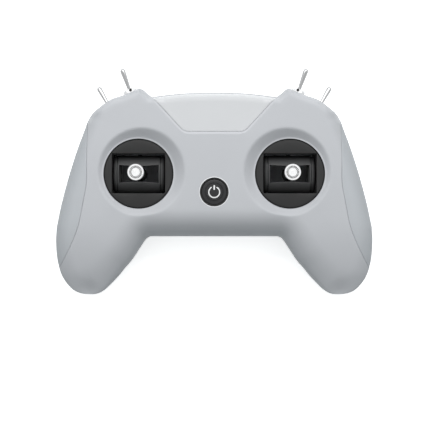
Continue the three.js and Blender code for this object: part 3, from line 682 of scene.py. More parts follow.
class Plan:
    """Points in the plan of the case, with their distances to its edges."""

    def __init__(self, form: CaseForm, points: np.ndarray) -> None:
        """Measures the points.

        Args:
            form: The case's form.
            points: The points.
        """
        self.form, self.points = form, points
        self.x, self.y = points.T
        self.folded = np.stack([np.abs(self.x), self.y], axis=1)
        self.distance = {kind: distance_to(path, self.folded) for kind, path in form.edges().items()}
        self.edge = np.minimum.reduce(list(self.distance.values()))

    def fullness(self, inset: float, rolls: dict[str, float]) -> np.ndarray:
        """Says how much of its full height a surface has reached.

        Args:
            inset: How far the surface is drawn in from the outline.
            rolls: The radius of the roll at each kind of edge.

        Returns:
            A share for each point: 0 on the edge, 1 past the roll.
        """
        share = np.ones(len(self.points))
        for kind, radius in rolls.items():
            away = np.maximum(0, self.distance[kind] - inset)
            rise = ramp_down(away, max(radius - inset, self.form.clearance))
            share *= np.sqrt(1 - rise**2)
        return share

    def face(self) -> np.ndarray:
        """Returns the height of the crowned face, before its edges roll over.

        Returns:
            The height at each point.
        """
        form = self.form
        along = np.maximum(0, form.fall_start - self.y) / (form.fall_start + form.grip_reach)
        drop = np.maximum(0, -self.y - form.grip_drop_start) / (form.grip_reach - form.grip_drop_start)
        across = form.fall_across * (self.x / form.half_width) ** 2
        return form.crown - across - form.fall_along * along**2 - form.grip_drop * drop**2

    def front(self, inset: float = 0.0) -> np.ndarray:
        """Gives the height of the front surface at some depth under the skin.

        Args:
            inset: The depth under the skin.

        Returns:
            The height at each point.
        """
        form = self.form
        rim = form.parting + form.rim_band
        rolls = {"top": form.top_roll, "side": form.side_roll, "inner": form.inner_roll}
        return rim + (self.face() - inset - rim) * self.fullness(inset, rolls)

    def rear(self, inset: float = 0.0) -> np.ndarray:
        """Gives the height of the back surface at some depth under the skin.

        Args:
            inset: The depth under the skin.

        Returns:
            The height at each point.
        """
        form = self.form
        rim = form.parting - form.clearance - form.rim_band
        lift = np.maximum(0, -self.y - form.grip_lift_start) / (form.grip_reach - form.grip_lift_start)
        back = form.grip_lift * lift**2
        rolls = dict.fromkeys(("top", "side", "inner"), form.back_roll)
        return rim - (rim - back - inset) * self.fullness(inset, rolls)


@dataclass(frozen=True)
class Rows:
    """How close the rows of points inside the outline lie."""

    roll_turn: float = 7.5
    roll_count: int = 11
    face_step: float = 0.0011
    face_count: int = 10
    least_share: float = 0.985
    field_share: float = 0.7


class Sheet:
    """Triangles over a plan that follow its outline and feature lines."""

    def __init__(self, form: CaseForm, rows: Rows = Rows()) -> None:
        """Starts with the outline and the rows of points inside it.

        Args:
            form: The case's form.
            rows: The spacing of the rows.
        """
        self.form, self.rows = form, rows
        self.outline = form.loop()
        self.points = [self.outline]
        self.runs = [(len(self.outline), True)]
        self.loose: list[np.ndarray] = []
        ahead, behind = np.roll(self.outline, -1, axis=0), np.roll(self.outline, 1, axis=0)
        along = ahead - behind
        along /= np.hypot(*along.T)[:, None]
        inward = np.stack([along[:, 1], -along[:, 0]], axis=1)
        roll = form.top_roll
        depths = [roll * (1 - math.cos(math.radians(rows.roll_turn * k))) for k in range(1, rows.roll_count + 1)]
        depths += [roll + rows.face_step * k for k in range(1, rows.face_count + 1)]
        closed = np.concatenate([self.outline, self.outline[:1]])
        found = []
        for depth in depths:
            row = self.outline + inward * depth
            kept = (distance_to(closed, row) > depth * rows.least_share) & inside(self.outline, row)
            found.append(row[kept])
        self.loose.append(np.concatenate(found))

    def line(self, path: np.ndarray, closed: bool = False) -> None:
        """Adds a line that the triangles' edges follow.

        Args:
            path: The line's points.
            closed: Whether it comes back to its start.
        """
        self.points.append(path)
        self.runs.append((len(path), closed))

    def dots(self, points: np.ndarray, spacing: float) -> None:
        """Adds loose points where none of the others is nearer than a spacing.

        Args:
            points: The points.
            spacing: The least distance to any point that is there.
        """
        taken = np.concatenate(self.points + self.loose)
        tree = kdtree.KDTree(len(taken))
        for i, (x, y) in enumerate(taken):
            tree.insert((x, y, 0), i)
        tree.balance()
        clear = [tree.find((x, y, 0))[2] > spacing for x, y in points]
        self.loose.append(points[np.array(clear, bool)])

    def fill(self, rings: list[np.ndarray], gap: float, spacing: float) -> None:
        """Adds the points round the features, and then a regular field over the rest of the outline.

        Args:
            rings: The points round the features.
            gap: The least distance of those points to any other.
            spacing: The distance between the points of the field.
        """
        rings = np.concatenate(rings)
        self.dots(rings[inside(self.outline, rings)], gap)
        form = self.form
        rows = np.arange(-form.grip_reach, form.horn_reach, spacing * math.sqrt(3) / 2)
        field = []
        for i, y in enumerate(rows):
            xs = np.arange(-form.half_width, form.half_width, spacing) + (spacing / 2 if i % 2 else 0)
            field.append(np.stack([xs, np.full(len(xs), y)], axis=1))
        field = np.concatenate(field)
        self.dots(field[inside(self.outline, field)], spacing * self.rows.field_share)

    def triangles(self) -> tuple[Plan, np.ndarray, np.ndarray]:
        """Joins all the points into triangles.

        Returns:
            The measured points, the triangles' corner numbers and their middles.
        """
        edges, start = [], 0
        for count, closed in self.runs:
            edges += [(start + i, start + i + 1) for i in range(count - 1)]
            if closed:
                edges.append((start + count - 1, start))
            start += count
        dots = np.concatenate(self.points + self.loose)
        found = geometry.delaunay_2d_cdt([Vector(dot) for dot in dots], edges, [], 0, MERGE, False)
        points = np.array([tuple(v) for v in found[0]])
        faces = np.array([tuple(f) for f in found[2]])
        middles = points[faces].mean(axis=1)
        kept = inside(self.outline, middles)
        return Plan(self.form, points), faces[kept], middles[kept]


def between(name: str, plan: Plan, faces: np.ndarray, top: np.ndarray, bottom: np.ndarray) -> bpy.types.Object:
    """Makes the closed piece between two heights over some triangles.

    Args:
        name: The piece's name.
        plan: The points in plan.
        faces: The triangles that the piece covers.
        top: The height of its upper surface at each point.
        bottom: The height of its lower surface at each point.

    Returns:
        The new object, with its normals pointing out.
    """
    used = np.unique(faces)
    number = np.full(len(plan.points), -1)
    number[used] = np.arange(len(used))
    a, b, c = plan.points[faces].transpose(1, 0, 2)
    clockwise = np.cross(b - a, c - a) < 0
    faces = number[np.where(clockwise[:, None], faces[:, ::-1], faces)]
    flat = plan.points[used]
    upper = np.column_stack([flat, top[used]])
    lower = np.column_stack([flat, np.minimum(bottom, top)[used]])
    sides = np.concatenate([faces[:, [0, 1]], faces[:, [1, 2]], faces[:, [2, 0]]])
    seen = {tuple(side) for side in sides.tolist()}
    count = len(used)
    walls = [[i, i + count, j + count, j] for i, j in seen if (j, i) not in seen]
    below = faces[:, ::-1] + count
    return mesh_piece(name, np.concatenate([upper, lower]), faces.tolist() + below.tolist() + walls)


# Shell pieces


@dataclass(frozen=True)
class Shell:
    """The moulded shells of the case and the places of what is let into them."""

    form: CaseForm = CaseForm()
    gimbal_share: float = 0.4681
    gimbal_y: float = 0.0044
    dish_height: float = 0.0366
    dish_hole: float = 0.0206
    dish_floor: float = 0.0213
    dish_slope: float = 0.8
    dish_round: float = 0.0008
    cone_wall: float = 1.28
    panel_top: float = 0.048372
    panel_length: float = 0.0198
    panel_top_half: float = 0.0358
    panel_bottom_half: float = 0.0176
    panel_corner: float = 0.003
    panel_step: float = 0.0009
    panel_thickness: float = 0.0012
    panel_chamfer: float = 0.0012
    panel_chamfer_depth: float = 0.0007
    panel_gap: float = 0.00012
    panel_edge: float = 0.0006
    panel_edge_depth: float = 0.0002
    panel_edge_height: float = 0.026
    panel_floor: float = 0.0013
    power_y: float = -0.0065
    power_hole: float = 0.0084
    power_chamfer: float = 0.0005
    seam_gap: float = 0.00012
    seam_round: float = 0.0004
    seam_dip: float = 0.0002
    step: float = 0.00002
    chamfer_rows: tuple[float, ...] = (0.25, 0.5, 0.75, 0.98, 1.02, 1.4)
    pocket_rows: tuple[float, ...] = (0.0002, 0.0004, 0.0006, 0.0012)
    seam_rows: tuple[float, ...] = (-0.0008, -0.0004, -0.0002, -0.0001, 0.00022, 0.00032, 0.00052, 0.0009)
    seam_open: tuple[float, float] = (0.048, 0.05)
    dish_rows: tuple[float, ...] = (0.02075, 0.02122, 0.02136)
    cone_rows: tuple[float, ...] = (0.2, 0.4, 0.6, 0.8)
    rim_rows: tuple[float, ...] = (
        *(-0.0007, -0.00045, -0.0003, -0.00015, 0, 0.00015, 0.0003, 0.00045, 0.0007),
        *(0.0014, 0.0024),
    )
    hole_rows: tuple[float, ...] = (0.00015, 0.0003, 0.00045, 0.00055, 0.0008, 0.0016)
    rim_passes: int = 12
    dish_sides: int = 128
    hole_sides: int = 96
    dot_gap: float = 0.00006
    field_step: float = 0.0021

    @property
    def gimbal_x(self) -> float:
        """Returns how far each gimbal stands from the middle."""
        return self.gimbal_share * self.form.half_width

    def seam(self, shift: float) -> np.ndarray:
        """Returns the right grip's seam, moved toward the middle by a shift."""
        return self.form.curve(SEAM_SHARES, 90) - (shift, 0)

    def strip(self, shift: float) -> np.ndarray:
        """Draws the loop round what lies outside the right seam.

        Args:
            shift: How far the seam is moved toward the middle.

        Returns:
            The loop's points.
        """
        path = self.seam(shift)
        far = 2 * self.form.half_width
        return np.concatenate([path, [(far, path[-1][1]), (far, path[0][1])]])

    def panel(self, margin: float) -> np.ndarray:
        """Draws the name panel's edge, widened by a margin and run out past the top.

        Args:
            margin: How far the edge is moved outward.

        Returns:
            The edge from its top left to its top right.
        """
        rise = self.panel_length / (self.panel_top_half - self.panel_bottom_half)
        low = self.panel_top - self.panel_length - margin
        half = self.panel_bottom_half + margin * math.hypot(1, rise) / rise - margin / rise
        high = self.form.horn_reach + 0.002
        top_half = half + (high - low) / rise
        turn = self.panel_corner
        up = np.array([1, rise]) * turn / math.hypot(1, rise)
        w = np.linspace(0, 1, 9)[:, None]
        bend = (1 - w) ** 2 * np.array([half - turn, low]) + 2 * w * (1 - w) * np.array([half, low])
        bend = bend + w**2 * (np.array([half, low]) + up)
        flat = np.linspace(0, half - turn, 16)[:-1, None] * (1, 0) + (0, low)
        slant = np.linspace(bend[-1], (top_half, high), 30)[1:]
        right = np.concatenate([flat, bend, slant])
        return np.concatenate([right[:0:-1] * (-1, 1), right])

    def dish(self, plan: Plan, lower: float = 0.0) -> np.ndarray:
        """Returns the height of the two dishes' cones at each point, moved down by a depth."""
        radius = np.hypot(np.abs(plan.x) - self.gimbal_x, plan.y - self.gimbal_y)
        return self.dish_height - lower + np.maximum(0, radius - self.dish_floor) * self.dish_slope

    def sheet(self) -> Sheet:
        """Lays the points and feature lines of the front.

        Returns:
            The sheet, ready to be joined.
        """
        form, sheet = self.form, Sheet(self.form)
        for shift in (0, self.seam_gap):
            path = self.seam(shift)
            for sign in (1, -1):
                sheet.line(path * (sign, 1))
        panel = {margin: self.panel(margin) for margin in (0, -self.step, -self.panel_gap)}
        for path in panel.values():
            sheet.line(path)
        dots = [self.panel(share * self.panel_chamfer) for share in self.chamfer_rows]
        dots += [self.panel(-self.panel_gap - wider) for wider in self.pocket_rows]
        for shift in self.seam_rows:
            path = self.seam(shift)
            dots += [path, path * (-1, 1)]
        for sign in (1, -1):
            centre = (sign * self.gimbal_x, self.gimbal_y)
            rims = Plan(form, circle(centre, self.dish_floor, self.dish_sides))
            for _ in range(self.rim_passes):
                reach = self.dish_floor + (rims.front() - self.dish_height) / self.dish_slope
                away = rims.points - centre
                away *= (np.maximum(reach, self.dish_floor) / np.hypot(*away.T))[:, None]
                rims = Plan(form, centre + away)
            sheet.line(circle(centre, self.dish_hole, self.dish_sides), closed=True)
            dots += [circle(centre, radius, self.dish_sides) for radius in self.dish_rows]
            start = circle(centre, self.dish_floor, self.dish_sides)
            dots += [start + (rims.points - start) * share for share in self.cone_rows]
            outward = (rims.points - centre) / np.hypot(*(rims.points - centre).T)[:, None]
            for shift in self.rim_rows:
                dots.append(rims.points + outward * shift)
        hub = (0, self.power_y)
        sheet.line(circle(hub, self.power_hole, self.hole_sides), closed=True)
        for wider in self.hole_rows:
            dots.append(circle(hub, self.power_hole + wider, self.hole_sides))
        sheet.fill(dots, self.dot_gap, self.field_step)
        return sheet

    def build(self) -> None:
        """Builds and dresses the front cover, the grip sides and the name panel."""
        form = self.form
        plan, faces, middles = self.sheet().triangles()
        folded = np.stack([np.abs(middles[:, 0]), middles[:, 1]], axis=1)
        in_dish = np.hypot(folded[:, 0] - self.gimbal_x, folded[:, 1] - self.gimbal_y) < self.dish_hole
        in_hole = np.hypot(middles[:, 0], middles[:, 1] - self.power_y) < self.power_hole
        in_strip, near_strip = (inside(self.strip(shift), folded) for shift in (0, self.seam_gap))
        panel_loop = self.panel(-self.panel_gap)
        in_pocket = inside(self.panel(0), plan.points) & (distance_to(self.panel(0), plan.points) > self.step / 2)

        skin = self.soft_least(plan.front(), self.dish(plan), self.dish_round)
        chamfer = ramp_down(distance_to(self.panel(0), plan.points), self.panel_chamfer)
        skin = skin - chamfer * self.panel_chamfer_depth * ~in_pocket
        hole_edge = np.hypot(plan.x, plan.y - self.power_y) - self.power_hole
        skin = skin - self.power_chamfer * 0.8 * ramp_down(hole_edge, self.power_chamfer)
        seams = distance_to(self.seam(self.seam_gap / 2), plan.folded)
        open_end, open_run = self.seam_open
        open_share = np.clip((open_end - plan.y) / open_run, 0, 1)
        skin = skin - self.seam_dip * open_share * ramp_down(seams - self.seam_gap / 2, self.seam_round) ** 2
        under_dish = np.maximum(self.dish(plan, form.wall * self.cone_wall), self.dish_height - form.wall)
        lining = np.minimum(plan.front(form.wall), under_dish)
        lining = np.where((plan.edge < form.wall) | Toggle.backed(plan.points), form.parting, lining)
        floor = plan.front(self.panel_step + self.panel_thickness + form.clearance)
        pocket = np.maximum(floor, np.minimum(skin, self.panel_edge_height))
        cover_top = np.where(in_pocket, pocket, skin)
        backing = plan.front(self.panel_step + self.panel_thickness + form.clearance + self.panel_floor)
        cover_low = np.where(in_pocket & (plan.edge >= form.wall), np.minimum(backing, lining), lining)

        covered = ~in_dish & ~in_hole & ~near_strip
        cover = between("front_shell", plan, faces[covered], cover_top, cover_low)
        Toggle.cut_seats(cover)
        dress(cover, Look.CASE, "case_grey", "case", "front_cover")
        for side, sign in SIDES.items():
            mine = in_strip & (middles[:, 0] * sign > 0)
            # The grip sides take the darker copy of the case plastic, painted shade of their roll.
            strip = between(f"{side}_grip_shell", plan, faces[mine], skin, lining)
            dress(strip, Look.GRIP, "case_grey", "case", f"{side}_grip_side")
        plate = inside(panel_loop, middles) & (plan.edge[faces].min(axis=1) > self.panel_step)
        top = np.maximum(plan.front(self.panel_step), self.panel_edge_height + form.clearance)
        edge = ramp_down(distance_to(panel_loop, plan.points), self.panel_edge)
        top = np.where(plan.edge > self.panel_step * 2, top - self.panel_edge_depth * edge**2, top)
        low = np.minimum(plan.front(self.panel_step + self.panel_thickness), top - form.clearance)
        low = np.maximum(low, self.panel_edge_height)
        panel = between("name_plate", plan, faces[plate], top, low)
        dress(panel, Look.PANEL, "panel_grey", "case", "name_panel")

    @staticmethod
    def soft_least(one: np.ndarray, other: np.ndarray, width: float) -> np.ndarray:
        """Takes the lower of two heights, with the crease between them rounded.

        Args:
            one: The first height at each point.
            other: The second height at each point.
            width: How far apart the heights still blend.

        Returns:
            The blended height at each point.
        """
        share = np.clip(0.5 + 0.5 * (other - one) / width, 0, 1)
        return other * (1 - share) + one * share - width * share * (1 - share)


@dataclass(frozen=True)
class BackShell:
    """The back of the case, with the screws' wells and the holes of the back buttons."""

    form: CaseForm = CaseForm()
    well_radius: float = 0.0031
    well_depth: float = 0.0093
    post_radius: float = 0.005
    button_x: float = 0.006
    button_y: float = 0.033972
    button_hole: float = 0.0029
    socket_half: float = 0.0048
    socket_low: float = 0.0122
    socket_high: float = 0.016
    step: float = 0.00002
    lip: float = 0.0003
    lip_width: float = 0.0004
    lip_rows: tuple[float, ...] = (0.0002, 0.0004, 0.001)
    floor_rows: tuple[float, ...] = (0.0022, 0.0012)
    sides: int = 48
    dot_gap: float = 0.000015
    field_step: float = 0.0026
    socket_cut: float = 0.0146

    def wells(self) -> list[np.ndarray]:
        """Returns the places of the six screws."""
        places = [self.form.place(shares) for shares in SCREW_SHARES.values()]
        return [place * (sign, 1) for place in places for sign in (1, -1)]

    def build(self) -> None:
        """Builds and dresses the rear shell."""
        form, sheet = self.form, Sheet(self.form)
        dots = []
        for place in self.wells():
            for radius in (self.well_radius, self.well_radius + self.step):
                sheet.line(circle(place, radius, self.sides), closed=True)
            for radius in (self.post_radius, self.post_radius + self.step):
                dots.append(circle(place, radius, self.sides))
            dots += [circle(place, self.well_radius + wider, self.sides) for wider in self.lip_rows]
            dots += [circle(place, radius, self.sides // 2) for radius in self.floor_rows]
        buttons = [np.array([sign * self.button_x, self.button_y]) for sign in (1, -1)]
        for place in buttons:
            sheet.line(circle(place, self.button_hole, self.sides), closed=True)
            dots += [circle(place, self.button_hole + wider, self.sides) for wider in self.lip_rows]
        sheet.fill(dots, self.dot_gap, self.field_step)
        plan, faces, middles = sheet.triangles()
        rim = form.parting - form.clearance
        skin, lining = plan.rear(), np.minimum(plan.rear(form.wall), rim)
        lining = np.where(plan.edge < form.wall, rim, lining)
        for place in self.wells():
            away = np.hypot(*(plan.points - place).T)
            skin = skin + self.lip * ramp_down(away - self.well_radius, self.lip_width)
            skin = np.where(away < self.well_radius + self.step / 2, self.well_depth, skin)
            lining = np.where(away < self.post_radius + self.step / 2, rim, lining)
        kept = np.ones(len(faces), bool)
        for place in buttons:
            away = np.hypot(*(plan.points - place).T)
            skin = skin + self.lip * ramp_down(away - self.button_hole, self.lip_width)
            kept &= np.hypot(*(middles - place).T) > self.button_hole
        shell = between("rear_shell", plan, faces[kept], lining, skin)
        low = form.place((0, LOW))[1]
        bpy.ops.mesh.primitive_cube_add(
            size=1,
            location=(0, low, (self.socket_low + self.socket_high) / 2),
            scale=(2 * self.socket_half, self.socket_cut, self.socket_high - self.socket_low),
        )
        cut(shell, bpy.context.object)
        dress(shell, Look.CASE, "case_grey", "case", "rear_cover")


# Toggle switches


@dataclass(frozen=True)
class Toggle:
    """One toggle switch at a horn, in a frame with Z along its lever and X along its hinge."""

    side: str = "left"
    place: str = "inner"
    lean: float = 20.0
    tilt: float = 0.0
    height: float = 0.027
    hole_radius: float = 0.0028
    seat_radius: float = 0.0045
    seat_reach: float = 0.012
    seat_wall: float = 0.0012
    neck: float = 0.004
    box_half: tuple[float, float] = (0.004, 0.0035)
    box_bottom: float = -0.013
    box_top: float = -0.004
    terminal_pitch: float = 0.0027
    terminal_half: float = 0.0005
    terminal_end: float = -0.0155
    bushing_radius: float = 0.0025
    bushing_top: float = 0.0026
    mouth_radius: float = 0.0023
    throat_radius: float = 0.0017
    throat_heights: tuple[float, float] = (-0.0016, -0.0033)
    bushing_edge: float = 0.0003
    sides: int = 48
    thread_pitch: float = 0.0006
    thread_depth: float = 0.0002
    nut_flats: float = 0.007
    nut_heights: tuple[float, float] = (0.0003, 0.0021)
    nut_edge: float = 0.0003
    nut_slack: float = 0.00015
    washer_width: float = 0.0004
    washer_tooth: float = 5.0
    washer_notch: float = 0.93
    # A small dark disc on the inner switches' nuts: painted shade of the bushing's mouth.
    shade_disc_radius: float = 0.0009
    shade_disc_shift: float = 0.00065
    shade_disc_depth: float = 0.0012
    shade_disc_edge: float = 0.0001
    pivot: float = -0.0016
    ball_radius: float = 0.0014
    root_radius: float = 0.00095
    tip_radius: float = 0.0016
    root_rows: tuple[tuple[float, float], ...] = ((1.02, 0.001), (1.12, 0.0032))
    lever_end: float = 0.0155

    def frame(self) -> Matrix:
        """Places the switch at its horn, with its lever leaning outward.

        Returns:
            The matrix from the switch's own frame.
        """
        sign = SIDES[self.side]
        x, y = CaseForm().place(SWITCH_SHARES[self.place])
        angle = math.radians(sign * self.lean)
        lever = Vector((math.sin(angle), math.cos(angle), 0))
        hinge = Vector((math.cos(angle), -math.sin(angle), 0))
        turn = Matrix((hinge, -hinge.cross(lever), lever)).transposed().to_4x4()
        return Matrix.Translation((sign * x, y, self.height)) @ turn

    @classmethod
    def each(cls) -> list["Toggle"]:
        """Returns the four switches."""
        inner = [cls(side, "inner", 20.0, 0.0) for side in SIDES]
        return inner + [cls(side, "outer", 30.0, 12.0) for side in SIDES]

    @classmethod
    def backed(cls, points: np.ndarray) -> np.ndarray:
        """Tells which points lie in the thick wall that a switch is clamped to.

        Args:
            points: The points in plan.

        Returns:
            A truth value for each point.
        """
        found = np.zeros(len(points), bool)
        for toggle in cls.each():
            frame = np.array(toggle.frame())
            away = points - frame[:2, 3]
            across, along = away @ frame[:2, 0], away @ frame[:2, 2]
            found |= (np.abs(across) < toggle.seat_radius + toggle.seat_wall) & (along > -toggle.neck)
        return found

    @classmethod
    def cut_seats(cls, cover: bpy.types.Object) -> None:
        """Cuts the flat seat and hole of each switch into the front shell.

        Args:
            cover: The front shell.
        """
        for toggle in cls.each():
            cutter = turned(
                "seat_cutter",
                [
                    (0, -2 * toggle.neck),
                    (toggle.hole_radius, -2 * toggle.neck),
                    (toggle.hole_radius, 0),
                    (toggle.seat_radius, 0),
                    (toggle.seat_radius, toggle.seat_reach),
                    (0, toggle.seat_reach),
                ],
                48,
            )
            cutter.data.transform(toggle.frame())
            cut(cover, cutter)

    def case(self) -> None:
        """Builds the switch's box, and its threaded bushing with the terminals."""
        radius, top, pitch = self.bushing_radius, self.bushing_top, self.thread_pitch
        throat, floor = self.throat_heights
        edge = self.bushing_edge
        profile, height = [(0, self.box_top - 0.0002), (radius, self.box_top - 0.0002)], self.box_top + 0.0003
        while height < top - 2 * pitch:
            profile += [(radius, height), (radius - self.thread_depth, height + pitch * 0.5)]
            height += pitch
        profile += [(radius, height), (radius, top - edge), (radius - edge, top), (self.mouth_radius, top)]
        profile += [(self.throat_radius, throat), (self.throat_radius, floor), (0, floor)]
        piece = turned(f"{self.side}_{self.place}_bushing", profile, self.sides)
        parts = [piece]
        for x in (-self.terminal_pitch, 0, self.terminal_pitch):
            half = self.terminal_half
            high = (x + half, half, self.box_bottom + 0.001)
            parts.append(block("terminal", (x - half, -half, self.terminal_end), high, 0.00015))
        node = f"{self.side}_{self.place}_switch_body"
        dress(moved(joined(parts), self.frame()), Look.STEEL, "steel", "case", node)
        wide, deep = self.box_half
        low, high = (-wide, -deep, self.box_bottom), (wide, deep, self.box_top)
        box = block(f"{self.side}_{self.place}_switch_box", low, high, 0.0004)
        dress(moved(box, self.frame()), Look.BLACK, "black_plastic", "case", node)

    def nut(self) -> None:
        """Builds the chamfered nut and the toothed washer under it."""
        low, high = self.nut_heights
        corner = self.nut_flats / math.sqrt(3)
        turns = [math.radians(60 * i) for i in range(6)]
        piece = extruded("nut", [(corner * math.cos(t), corner * math.sin(t)) for t in turns], low, high)
        edge, flat = self.nut_edge, self.nut_flats / 2
        dome = [(0, low - edge), (corner, low - edge), (corner, high - edge * 1.6), (flat, high), (0, high)]
        cut(piece, turned("dome_cutter", dome, 96), "INTERSECT")
        hole = self.bushing_radius + self.nut_slack
        above = high + 0.00002
        bore = [(0, low - edge), (hole, low - edge), (hole, high - edge), (hole + edge, above), (0, above)]
        cut(piece, turned("bore_cutter", bore, 48))
        piece.name = f"{self.side}_{self.place}_nut"
        node = f"{self.side}_{self.place}_switch_nut"
        dress(moved(piece, self.frame()), Look.NICKEL, "bright_metal", "case", node)
        inner, outer, under = hole, flat + self.washer_width, 0.00003
        ring = [(inner, under), (outer, under), (outer, low - under), (inner, low - under)]
        washer = turned(f"{self.side}_{self.place}_washer", ring, 72)
        for corner in washer.data.vertices:
            x, y, _ = corner.co
            tooth = round(math.atan2(y, x) / math.radians(self.washer_tooth))
            if math.hypot(x, y) > outer - ON_RADIUS and tooth % 3 == 0:
                corner.co.x, corner.co.y = x * self.washer_notch, y * self.washer_notch
        dress(moved(washer, self.frame()), Look.NICKEL, "bright_metal", "case")

    def shade_disc(self) -> None:
        """Builds a small dark disc let into the nut's front flat, painted shade that stands for the dark mouth of the
        bushing.
        """
        radius, high = self.shade_disc_radius, self.nut_flats / 2 + 0.00006
        edge, low = self.shade_disc_edge, high - self.shade_disc_depth
        profile = [(0, low), (radius, low), (radius, high - edge), (radius - edge, high), (0, high)]
        piece = turned(f"{self.side}_{self.place}_painted_shade_disc", profile, 32)
        along = sum(self.nut_heights) / 2 + 0.0001
        across = Matrix.Translation((-SIDES[self.side] * self.shade_disc_shift, 0, along))
        dress(moved(piece, self.frame() @ across @ ALONG_Y), Look.BLACK, "black_plastic", "case")

    def lever(self) -> None:
        """Builds the plated lever, from the ball in the bushing to its rounded tip."""
        ball, root, tip, end, pivot = self.ball_radius, self.root_radius, self.tip_radius, self.lever_end, self.pivot
        profile = [(0, pivot - ball)] + arc(ball, pivot, range(-80, 50, 13))
        profile += [(root, pivot + ball)] + [(root * share, height) for share, height in self.root_rows]
        profile += [(tip * 0.94, end - 0.0045), (tip, end - 0.003), (tip, end - tip)]
        profile += arc(tip, end - tip, range(15, 90, 15)) + [(0, end)]
        piece = turned(f"{self.side}_{self.place}_bat", profile, self.sides)
        about = Matrix.Translation((0, 0, pivot))
        lean = about @ Matrix.Rotation(-math.radians(self.tilt), 4, "X") @ about.inverted()
        body = f"{self.side}_{self.place}_lever"
        node = f"{self.side}_{self.place}_switch_lever"
        dress(moved(piece, self.frame() @ lean), Look.CHROME, "bright_metal", body, node)

    def build(self) -> None:
        """Builds all that shows of the switch."""
        self.case()
        self.nut()
        self.lever()
        # Only the inner switches show the dark disc of painted shade.
        if self.place == "inner":
            self.shade_disc()


# Screws, back buttons and socket


@dataclass(frozen=True)
class Screw:
    """One case screw in its well, head down."""

    side: str = "left"
    place: str = "top"
    face: float = 0.0072
    head_radius: float = 0.0028
    head_height: float = 0.0018
    head_rows: tuple[tuple[float, float], ...] = ((0.55, 0.00005), (0.85, 0.0003), (1, 0.0008))
    shank_radius: float = 0.00145
    end: float = 0.028
    pitch: float = 0.001
    thread_depth: float = 0.0003
    thread_start: float = 0.0006
    root_shares: tuple[float, float] = (0.3, 0.7)
    point: float = 2.2
    point_share: float = 0.35
    sides: int = 32
    drive_reach: float = 0.0015
    drive_half: float = 0.00028
    drive_depth: float = 0.001

    def build(self) -> None:
        """Builds the screw with its cross drive and thread."""
        face, head, shank = self.face, self.head_radius, self.shank_radius
        under = face + self.head_height
        profile = [(0, face)] + [(head * share, face + deep) for share, deep in self.head_rows]
        profile += [(head, under), (shank, under)]
        height = under + self.thread_start
        while height < self.end - self.point * self.pitch:
            root = shank - self.thread_depth
            profile += [(shank, height)] + [(root, height + self.pitch * share) for share in self.root_shares]
            height += self.pitch
        profile += [(shank, height), (shank * self.point_share, self.end), (0, self.end)]
        piece = turned(f"{self.side}_{self.place}_screw", profile, self.sides)
        long, half, low = self.drive_reach, self.drive_half, face - self.drive_depth
        for x, y in ((long, half), (half, long)):
            cut(piece, block("drive_cutter", (-x, -y, low), (x, y, face + self.drive_depth), 0.0001))
        x, y = CaseForm().place(SCREW_SHARES[self.place])
        moved(piece, Matrix.Translation((SIDES[self.side] * x, y, 0)))
        dress(piece, Look.STEEL, "steel", "case", f"{self.side}_{self.place}_case_screw")


@dataclass(frozen=True)
class BackButton:
    """One of the two small buttons in the back."""

    name: str = "bind"
    sign: int = -1
    radius: float = 0.0026
    face: float = 0.0006
    dish: float = 0.0003
    flange: tuple[float, float, float] = (0.0038, 0.0025, 0.0037)
    stem_radius: float = 0.0016
    stem_end: float = 0.01

    def build(self) -> None:
        """Builds the button with its dished face."""
        radius, face = self.radius, self.face
        wide, low, high = self.flange
        profile = [(radius * share, face + self.dish * deep) for share, deep in ((0, 1), (0.3, 0.9), (0.6, 0.5))]
        profile += [(radius - 0.0005, face), (radius - 0.0002, face + 0.00004), (radius, face + 0.0003)]
        profile += [(radius, low), (wide, low), (wide, high), (self.stem_radius, high)]
        stem, end = self.stem_radius, self.stem_end
        profile += [(stem, end - 0.0003), (stem - 0.0003, end), (0, end)]
        piece = turned(f"{self.name}_cap", profile, 48)
        shell = BackShell()
        moved(piece, Matrix.Translation((self.sign * shell.button_x, shell.button_y, 0)))
        dress(piece, Look.CAP, "dark_plastic", f"{self.name}_cap", f"{self.name}_button")


@dataclass(frozen=True)
class Socket:
    """The charging and data socket in the lower edge."""

    half_width: float = 0.0045
    low: float = 0.0125
    high: float = 0.0157
    front: float = -0.0308
    back: float = -0.0235
    corner: float = 0.0012
    mouth: tuple[float, float] = (0.0082, 0.0024)
    depth: float = 0.005
    tongue: tuple[float, float] = (0.0066, 0.0007)
    setback: float = 0.0009

    def oval(self, name: str, width: float, height: float, corner: float, start: float, end: float) -> bpy.types.Object:
        """Makes a straight piece along Y with rounded corners.

        Args:
            name: The piece's name.
            width: Its size along X.
            height: Its size along Z.
            corner: The radius of its corners.
            start: Where it starts along Y.
            end: Where it ends along Y.

        Returns:
            The new object.
        """
        middle, x, z = (self.low + self.high) / 2, width / 2 - corner, height / 2 - corner
        loop = []
        for sx, sz, first in ((1, 1, 0), (-1, 1, 90), (-1, -1, 180), (1, -1, 270)):
            for angle in range(first, first + 91, 15):
                turn = math.radians(angle)
                loop.append((sx * x + corner * math.cos(turn), sz * z + corner * math.sin(turn)))
        piece = extruded(name, loop, -end, -start)
        return moved(piece, Matrix.Translation((0, 0, middle)) @ ALONG_Y)

    def build(self) -> None:
        """Builds the socket's shell and its tongue."""
        shell = self.oval("socket_shell", 2 * self.half_width, self.high - self.low, self.corner, self.front, self.back)
        wide, tall = self.mouth
        corner = self.corner * 0.75
        cut(shell, self.oval("mouth_cutter", wide, tall, corner, self.front - 0.001, self.front + self.depth))
        rounded(shell, 0.0001)
        dress(shell, Look.STEEL, "steel", "case", "usb_socket")
        wide, tall = self.tongue
        start, end = self.front + self.setback, self.front + self.depth + 0.0005
        tongue = self.oval("socket_tongue", wide, tall, tall * 0.3, start, end)
        dress(tongue, Look.BLACK, "black_plastic", "case")


# Gimbals


